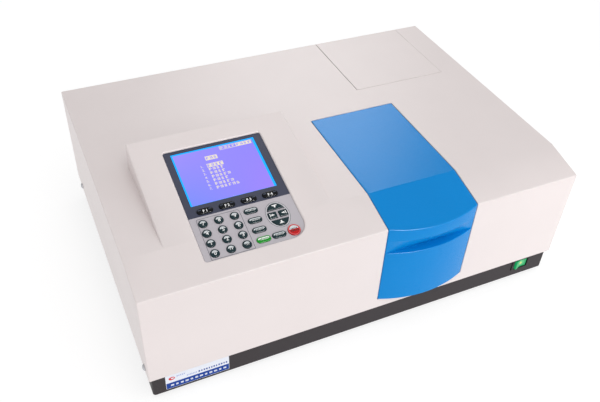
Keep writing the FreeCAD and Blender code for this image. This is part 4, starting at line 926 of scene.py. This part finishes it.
def key_print(node):
    """The generic marks on a key's cap: a painted highlight on its upper part, then a digit or a row of
    dashes.
    """
    name = node.removeprefix("key_")
    low, high = top_box(node)
    x, y = (low + high) / 2
    marks = []

    def levels(layer):
        return CAP_TOP - PRINT_DEPTH, CAP_TOP + PRINT_RISE * (layer + 1)

    def lay(outline, layer, kind):
        marks.append(tinted(prism(outline, *levels(layer)), kind))

    def write(words, size, spot, layer, kind, weight):
        marks.append(tinted(lettering(words, size, spot, *levels(layer), weight), kind))

    outline = key_outline(node)
    if name in ARROW_MARKS:
        for shape in ARROW_MARKS[name]:
            lay([(x + across, y + up) for across, up in shape], 0, WHITE_PRINT)
    elif name in ("f1", "f2", "f3", "f4"):
        write(f"F {name[1]}", 5.4, (x, y - 0.6), 0, WHITE_PRINT, 0.03)
        # painted highlights either side of the letters
        for side in (-1, 1):
            lay(bar((x + side * 7.0, y + 1.6), (4.2, 1.5)), 0, PAINTED_HIGHLIGHT)
    elif name == "stop":
        # a painted highlight over the cap's upper part
        lay(upper_part(inset_outline(outline, 2.1), y + 0.9), 0, PAINTED_HIGHLIGHT)
        rows = row_of_marks((x, y + 1.7), (9, 1.9), 5) + row_of_marks((x, y - 1.6), (11.5, 2.3), 5)
        for shape in rows:
            lay(shape, 1, DARK_PRINT)
    elif name in ("start", "goto", "print", "enter", "return"):
        # a painted highlight over the cap's upper part
        lay(upper_part(inset_outline(outline, 1.8), y + 0.2), 0, PAINTED_HIGHLIGHT)
        for shape in row_of_marks((x, y + 0.4), (11.5, 2.1), 6):
            lay(shape, 1, DARK_PRINT)
        for shape in row_of_marks((x + 0.4, y - 0.5), (11.0, 1.0), 6):
            lay(shape, 2, WHITE_PRINT)
    else:
        # a painted highlight over the cap's upper part
        lay(upper_part(inset_outline(outline, 2.0), y + 0.7), 0, PAINTED_HIGHLIGHT)
        if name.isdigit():
            for layer, kind, weight in ((1, DARK_PRINT, 0.055), (2, WHITE_PRINT, 0.012)):
                write(name, 7.2, (x + 0.2, y - 0.4), layer, kind, weight)
        else:
            shapes = row_of_marks((x, y - 0.2), (5.4, 3.6), 2 if name == "point" else 3)
            for shape in shapes:
                lay(shape, 1, DARK_PRINT)
            for shape in shapes:
                lay(inset_outline(shape, 0.3), 2, WHITE_PRINT)
    return marks


def make_keys():
    # the third colour in each finish is the painted highlight on the cap's upper part
    finish = {"enter": (KEY_GREEN, "key_green", PRINT_WHITE, KEY_GREEN),
              "stop": (KEY_RED, "key_red", PAINTED_KEY_HIGHLIGHT, PRINT_BLACK)}
    for name in ("f1", "f2", "f3", "f4"):
        finish[name] = (KEY_BLACK, "key_black", PAINTED_F_KEY_HIGHLIGHT, PRINT_BLACK)
    for node in KEY_NODES:
        name = node.removeprefix("key_")
        material, slot, pale, dark = finish.get(name, (KEY_DARK, "key_dark", PAINTED_KEY_HIGHLIGHT, KEY_DARK))
        cap = tinted(key_cap(node), 0)
        parts = [cap, *key_print(node)]
        if name == "stop":
            # a pale pink ring just inside the stop key's rim: a painted reflection
            rim = strip(inset_outline(key_outline(node), 0.5), 0.9, CAP_TOP - 0.5, CAP_TOP - 0.08)
            parts.append(tinted(rim, REFLECTION_RIM))
        piece("cap_" + name, joined(*parts), [material, PRINT_WHITE, pale, dark, PAINTED_RIM_REFLECTION], node,
              node, place=CONSOLE, angle=50)


def make_panel():
    overlap = 6
    board = prism(rounded_rectangle((WINDOW[0][0] - overlap, WINDOW[0][1] - overlap),
                                    (WINDOW[1][0] + overlap, WINDOW[1][1] + overlap), (2,) * 4, 4), -5, -3)
    mesh = with_added(board, prism(window_outline(PANEL_GAP), -3.5, PANEL_TOP))
    holes = [block((*DISPLAY[0], -9), (*DISPLAY[1], 9))]
    holes += [prism(key_outline(node, 0.3), -9, 9) for node in KEY_NODES]
    mesh = less(mesh, joined(*holes))
    softened(mesh, 0.25, 2, at_level(2, PANEL_TOP))
    with opened(mesh) as work:
        bmesh.ops.bisect_plane(work, geom=work.verts[:] + work.edges[:] + work.faces[:], dist=0.001,
                               plane_co=(0, TWO_TONE, 0), plane_no=(0, 1, 0))
        for face in work.faces:
            face.material_index = 1 if face.calc_center_median().y > TWO_TONE else 0
    levels = (PANEL_TOP - 0.05, PANEL_TOP + 0.06)
    ring, rim, line = ([(x + ARROW_CENTRE.x, y + ARROW_CENTRE.y) for x, y in oval(grow, 0, 355, 71)]
                       for grow in (2.1, 2.7, 0.75))
    field = rounded_rectangle((102.2, WINDOW[0][1] + 0.9), (160.3, 93.4), (0.6, 0.6, 3, 3), 5)
    marks = [tinted(strip(ring, 1.3, *levels), 3), tinted(strip(rim, 0.55, *levels), 2),
             tinted(strip(line, 0.3, *levels), 2), tinted(strip(field, 0.5, *levels), 2)]
    piece("front_panel", joined(mesh, *marks), [PANEL_LIGHT, PANEL_DARK, PRINT_DARK, PRINT_SILVER],
          "cabinet", "display_panel", place=CONSOLE)


def lit_screen(low, high):
    """The screen's blue to violet glow, shaded from corner to corner, with a faint grain."""
    nodes = Nodes("lit_screen")
    split = nodes.add("SeparateXYZ", Vector=nodes.place)
    middle = CONSOLE @ Vector((*((Vector(low) + Vector(high)) / 2), 0))
    across = nodes.span(split.outputs["X"], 0, 1, (middle.x - 0.06, middle.x + 0.06))
    up = nodes.span(split.outputs["Y"], 0, 1, (middle.y - 0.045, middle.y + 0.045))
    low_row = nodes.blend(across, colour(112, 142, 255), colour(166, 128, 246))
    high_row = nodes.blend(across, colour(163, 144, 246), colour(142, 130, 246))
    grain = nodes.span(nodes.noise(900, 1), 0, 0.12)
    tone = nodes.blend(grain, nodes.blend(up, low_row, high_row), colour(90, 90, 220))
    nodes.set(Base_Color=shade(colour(120, 120, 230), 0.35), Emission_Color=tone, Emission_Strength=0.8,
              Specular_IOR_Level=0.3, Roughness=nodes.span(nodes.noise(500, 2), 0.2, 0.3),
              Normal=nodes.bump(nodes.noise(1200, 1), 0.05, 0.00001))
    return nodes.material


def make_display():
    """The display: its frame, its glass, a lit screen and a generic page of bars."""
    (left, low), (right, high) = DISPLAY
    glass_top = -2.35
    back = prism(rounded_rectangle((left - 4, low - 4), (right + 4, high + 4), (2,) * 4, 4), -12, -5)
    glass = block((left + 0.2, low + 0.2, -5.5), (right - 0.2, high - 0.2, glass_top))
    softened(glass, 0.2, 2, at_level(2, glass_top))
    screen_low, screen_high = (left + 2.5, low + 0.5), (right - 3.5, high - 2.6)
    level = glass_top + 0.015
    screen = block((*screen_low, glass_top - 0.02), (*screen_high, level))
    rim = block((left + 0.25, low + 0.25, glass_top - 0.02), (right - 0.25, high - 0.25, glass_top + 0.005))
    span = Vector(screen_high) - Vector(screen_low)
    shapes = []

    def place_at(across, down):
        return screen_low[0] + across * span.x, screen_high[1] - down * span.y

    def mark(across, down, length, height, number=3, layer=0):
        """A bar from its left end and its distance down the page, in shares of the screen."""
        x, y = place_at(across, down)
        half = height * span.y / 2
        outline = rounded_rectangle((x, y - half), (x + length * span.x, y + half), (0.2,) * 4, 2)
        shapes.append(tinted(prism(outline, level - 0.02, level + 0.02 + 0.01 * layer), number))

    def glyphs(across, down, length, height, number=3, layer=0):
        """A line of small square signs, each of a few strokes."""
        pitch = 0.049
        wide = 0.036
        for index in range(round(length / pitch)):
            start = across + index * pitch
            for part, share in enumerate((0.36, 0.0, -0.36)):
                short = 0.5 + 0.5 * ((index * 7 + part * 3) % 4) / 3
                mark(start, down + share * height, wide * short, height * 0.18, number, layer)
            stroke = wide * (0.15 + 0.55 * ((index * 5) % 3) / 2)
            mark(start + stroke, down, 0.008, height, number, layer)

    # two fields in the top corner, one filled and one only framed, then a filled title
    head = 0.045
    mark(0.782, head, 0.2, 0.072)
    glyphs(0.79, head, 0.19, 0.04, 2, 1)
    for down, length, height in ((head - 0.032, 0.208, 0.008), (head + 0.032, 0.208, 0.008),
                                 (head, 0.006, 0.072)):
        mark(0.574, down, length, height)
    glyphs(0.585, head, 0.19, 0.036)
    mark(0.36, 0.184, 0.15, 0.08)
    glyphs(0.368, 0.184, 0.145, 0.045, 2, 1)
    # a list of seven numbered lines, the first of them picked out
    for row, length in enumerate((0.2, 0.195, 0.2, 0.25, 0.21, 0.245, 0.29)):
        down = 0.327 + 0.073 * row
        if row == 0:
            mark(0.345, down, length, 0.072)
        glyphs(0.349, down, length, 0.05, 2 if row == 0 else 3, 1)
        spot = place_at(0.283, down)
        digit = lettering(f"{row + 1}.", 5.4, spot, level - 0.02, level + 0.02, 0.01)
        shapes.append(tinted(digit, 3))
    rim_light = glowing("lit_rim", shade(colour(0, 120, 220), 0.5), colour(0, 172, 255), 0.95)
    ink = glowing("lit_text", shade(colour(240, 236, 214), 0.4), colour(240, 226, 204), 0.62)
    parts = [tinted(back, 0), tinted(glass, 0), tinted(rim, 1), tinted(screen, 2), *shapes]
    piece("lit_display", joined(*parts), [BLACK_PLASTIC, rim_light, lit_screen(screen_low, screen_high), ink],
          "cabinet", "lcd_module", place=CONSOLE)


# ---- switch and label --------------------------------------------------------------------

def make_switch():
    low, high = cabinet_box("switch_housing")
    centre = (low.x + high.x) / 2, (low.z + high.z) / 2
    front = low.y
    face = front + 1.5
    pivot = face + 5
    bezel = prism(centred(centre, (high.x - low.x, high.z - low.z), 2.2, 6), front, face, "y")
    softened(bezel, 0.8, 3, at_level(1, front))
    box = block((centre[0] - 14.5, face - 0.3, centre[1] - 10.25),
                (centre[0] + 14.5, high.y, centre[1] + 10.25))
    mouth = prism(centred(centre, (24.8, 17.3), 0.8, 3), face - 4.5, face + 20, "y")
    bore = tube((centre[0], pivot, centre[1] - 9.95), 1.54, 19.9, "z")
    mesh = less(with_added(bezel, box), mouth, bore)
    softened(mesh, 0.3, 2, at_level(1, front))
    piece("switch_bezel", mesh, [BLACK_PLASTIC], "cabinet", "switch_housing")

    outline = rounded_trace([(-11, -7, 0.9, 3), (0, -4.8, 8, 5), (11, -7, 0.9, 3), (11, -1, 0.4, 1),
                             (3, 4.5, 0.4, 1), (-3, 4.5, 0.4, 1), (-11, -1, 0.4, 1)])
    rocker = prism(outline, -8.45, 8.45)
    softened(rocker, 0.7, 3, lambda edge: sharp(edge, 60) and middle_of(edge).y < -1.5)
    rocker = with_added(rocker, tube((0, 0, -9.65), 1.5, 19.3, "z"))
    lens = prism(circle((0, 0), 2.1), -5.05, -4.3, "y")
    parts = joined(rocker, lens)
    parts.transform(Matrix.Translation((centre[0], pivot, centre[1]))
                    @ Matrix.Rotation(math.radians(10), 4, "Z"))
    piece("green_rocker", parts, [ROCKER], "rocker", "power_rocker")


def make_label():
    """The two-tone label: plain bars stand in for its words."""
    low, high = cabinet_box("name_label")
    front, back = low.y, high.y
    split = 17.2
    whole = rounded_rectangle((low.x, low.z), (high.x, high.z), (1.2,) * 4, 5)
    lower = rounded_rectangle((low.x + 0.5, low.z + 0.5), (high.x - 0.5, split), (0.8, 0.8, 0.01, 0.01), 4)
    plate = prism(whole, front + 0.1, back, "y")
    blue = prism(lower, front + 0.05, front + 0.15, "y")

    def signs(start, pitch, count, z, height, number):
        """A row of small blocks, each split in two, standing in for words."""
        row = []
        for index in range(count):
            wide = pitch * (0.66, 0.5, 0.6)[index % 3]
            middle = start + (index + 0.5) * pitch
            cut = z + height * (0.42, 0.55, 0.48, 0.6)[index % 4]
            for low_z, high_z in ((z, cut - 0.18), (cut + 0.18, z + height)):
                shape = bar((middle, (low_z + high_z) / 2), (wide, high_z - low_z))
                row.append(tinted(prism(shape, front, front + 0.12, "y"), number))
        return row

    marks = [tinted(prism(ellipse((30.3, 25.6), (4.4, 3.3)), front + 0.04, front + 0.12, "y"), 2),
             tinted(prism(ellipse((31.2, 25.8), (2.3, 1.3)), front, front + 0.12, "y"), 0)]
    marks += signs(36.5, 2.5, 5, 26.2, 2.6, 3) + signs(50.5, 2.1, 7, 20.8, 2.6, 3)
    marks += signs(66.5, 3.5, 12, 20.6, 3.2, 1) + signs(27.0, 6.7, 12, 9.6, 3.2, 0)
    piece("front_label", joined(tinted(plate, 0), tinted(blue, 1), *marks),
          [LABEL_WHITE, LABEL_BLUE, LABEL_RED, LABEL_PALE], "cabinet", "name_label")


# ---- what stays as the model has it ------------------------------------------------------

KEPT = {
    REAR_PAINT: ("rear_panel",),
    BLACK_PLASTIC: ("power_inlet", "fan_frame", "fan_rotor", "cell_carriage"),
    STEEL: ("data_ports", "hinge_brackets", "power_supply"),
    BOARD: ("key_board", "main_board"),
    LINING: ("lid_liner", "sample_chamber"),
    ANODISED: ("lid_hinge_arms", "monochromator_box", "lamp_house", "filter_wheel", "detector_box"),
    CAST: ("optical_deck", "grating_turntable"),
    GLASS: ("cuvettes", "lamps"),
    MIRROR: ("optics_mirrors", "lamp_mirror"),
}


def dress_kept_nodes():
    for material, nodes in KEPT.items():
        for node in nodes:
            give(node, material)


# ---- floor, light and camera -------------------------------------------------------------

STUDIO_LEVEL = 0.76             # the glow of the floor, and of the world at its sides
STUDIO_SLOPE = (0.06, -0.3, 0)  # how much brighter the world gets towards x, y and z


def area_light(name, spot, target, size, power):
    data = bpy.data.lights.new(name, "AREA")
    data.shape, data.size, data.energy = "DISK", size, power
    item = bpy.data.objects.new(name, data)
    item.location = spot
    item.rotation_euler = (Vector(target) - Vector(spot)).to_track_quat("-Z", "Y").to_euler()
    bpy.context.scene.collection.objects.link(item)
    return item


def make_stage():
    nodes = Nodes("pale_floor")
    nodes.set(Base_Color=nodes.blend(nodes.noise(2, 3), colour(148, 148, 148), colour(152, 152, 152)),
              Roughness=0.9, Specular_IOR_Level=0, Emission_Color=(1, 1, 1, 1),
              Emission_Strength=STUDIO_LEVEL, Normal=nodes.bump(nodes.noise(300, 2), 0.05, 0.0001))
    half = 9
    mesh = mesh_from([(-half, -half, 0), (half, -half, 0), (half, half, 0), (-half, half, 0)],
                     [(0, 1, 2, 3)])
    floor = bpy.data.objects.new("floor", mesh)
    mesh.materials.append(nodes.material)
    bpy.context.scene.collection.objects.link(floor)
    world = bpy.data.worlds.new("studio")
    world.use_nodes = True
    tree = world.node_tree
    towards = tree.nodes.new("ShaderNodeTexCoord").outputs["Generated"]
    glow = tree.nodes.new("ShaderNodeVectorMath")
    glow.operation = "DOT_PRODUCT"
    tree.links.new(towards, glow.inputs[0])
    glow.inputs[1].default_value = STUDIO_SLOPE
    level = tree.nodes.new("ShaderNodeMath")
    level.inputs[1].default_value = STUDIO_LEVEL
    tree.links.new(glow.outputs["Value"], level.inputs[0])
    background = tree.nodes["Background"]
    background.inputs["Color"].default_value = (1, 1, 1, 1)
    tree.links.new(level.outputs[0], background.inputs["Strength"])
    bpy.context.scene.world = world
    area_light("front_right_key", (0.85, -0.95, 0.35), (0.3, -0.2, 0.1), 0.7, 2.6)
    area_light("overhead", (0, -0.9, 2.3), (0, 0, 0.1), 1.5, 8)
    sheen = area_light("rear_sheen", (0.93, 2.12, 1.86), (0.08, -0.06, 0.21), 1.4, 36)
    sheen.visible_diffuse = False
    glint = area_light("edge_glint", (0.44, -1.85, 1.8), (-0.1, -0.1, 0.2), 0.6, 150)
    glint.visible_diffuse = False


def make_camera():
    """The camera that took the photograph, as solved from the cabinet's straight edges."""
    data = bpy.data.cameras.new("camera")
    data.lens, data.sensor_width = 43.067, 36
    data.clip_start = 0.01
    item = bpy.data.objects.new("camera", data)
    place = Vector((-0.39845, -0.78886, 0.83993))
    right = Vector((0.911989, -0.4083106, 0.0394778))
    up = Vector((0.2410882, 0.6113617, 0.7537329))
    turn = Matrix((right, up, right.cross(up))).transposed().to_4x4()
    item.matrix_world = Matrix.Translation(place) @ turn
    bpy.context.scene.collection.objects.link(item)
    bpy.context.scene.camera = item


bpy.context.scene.view_settings.view_transform = "Standard"
make_cover()
make_base()
make_feet()
make_screws()
make_lid()
make_hatch()
make_keys()
make_panel()
make_display()
make_switch()
make_label()
dress_kept_nodes()
make_stage()
make_camera()
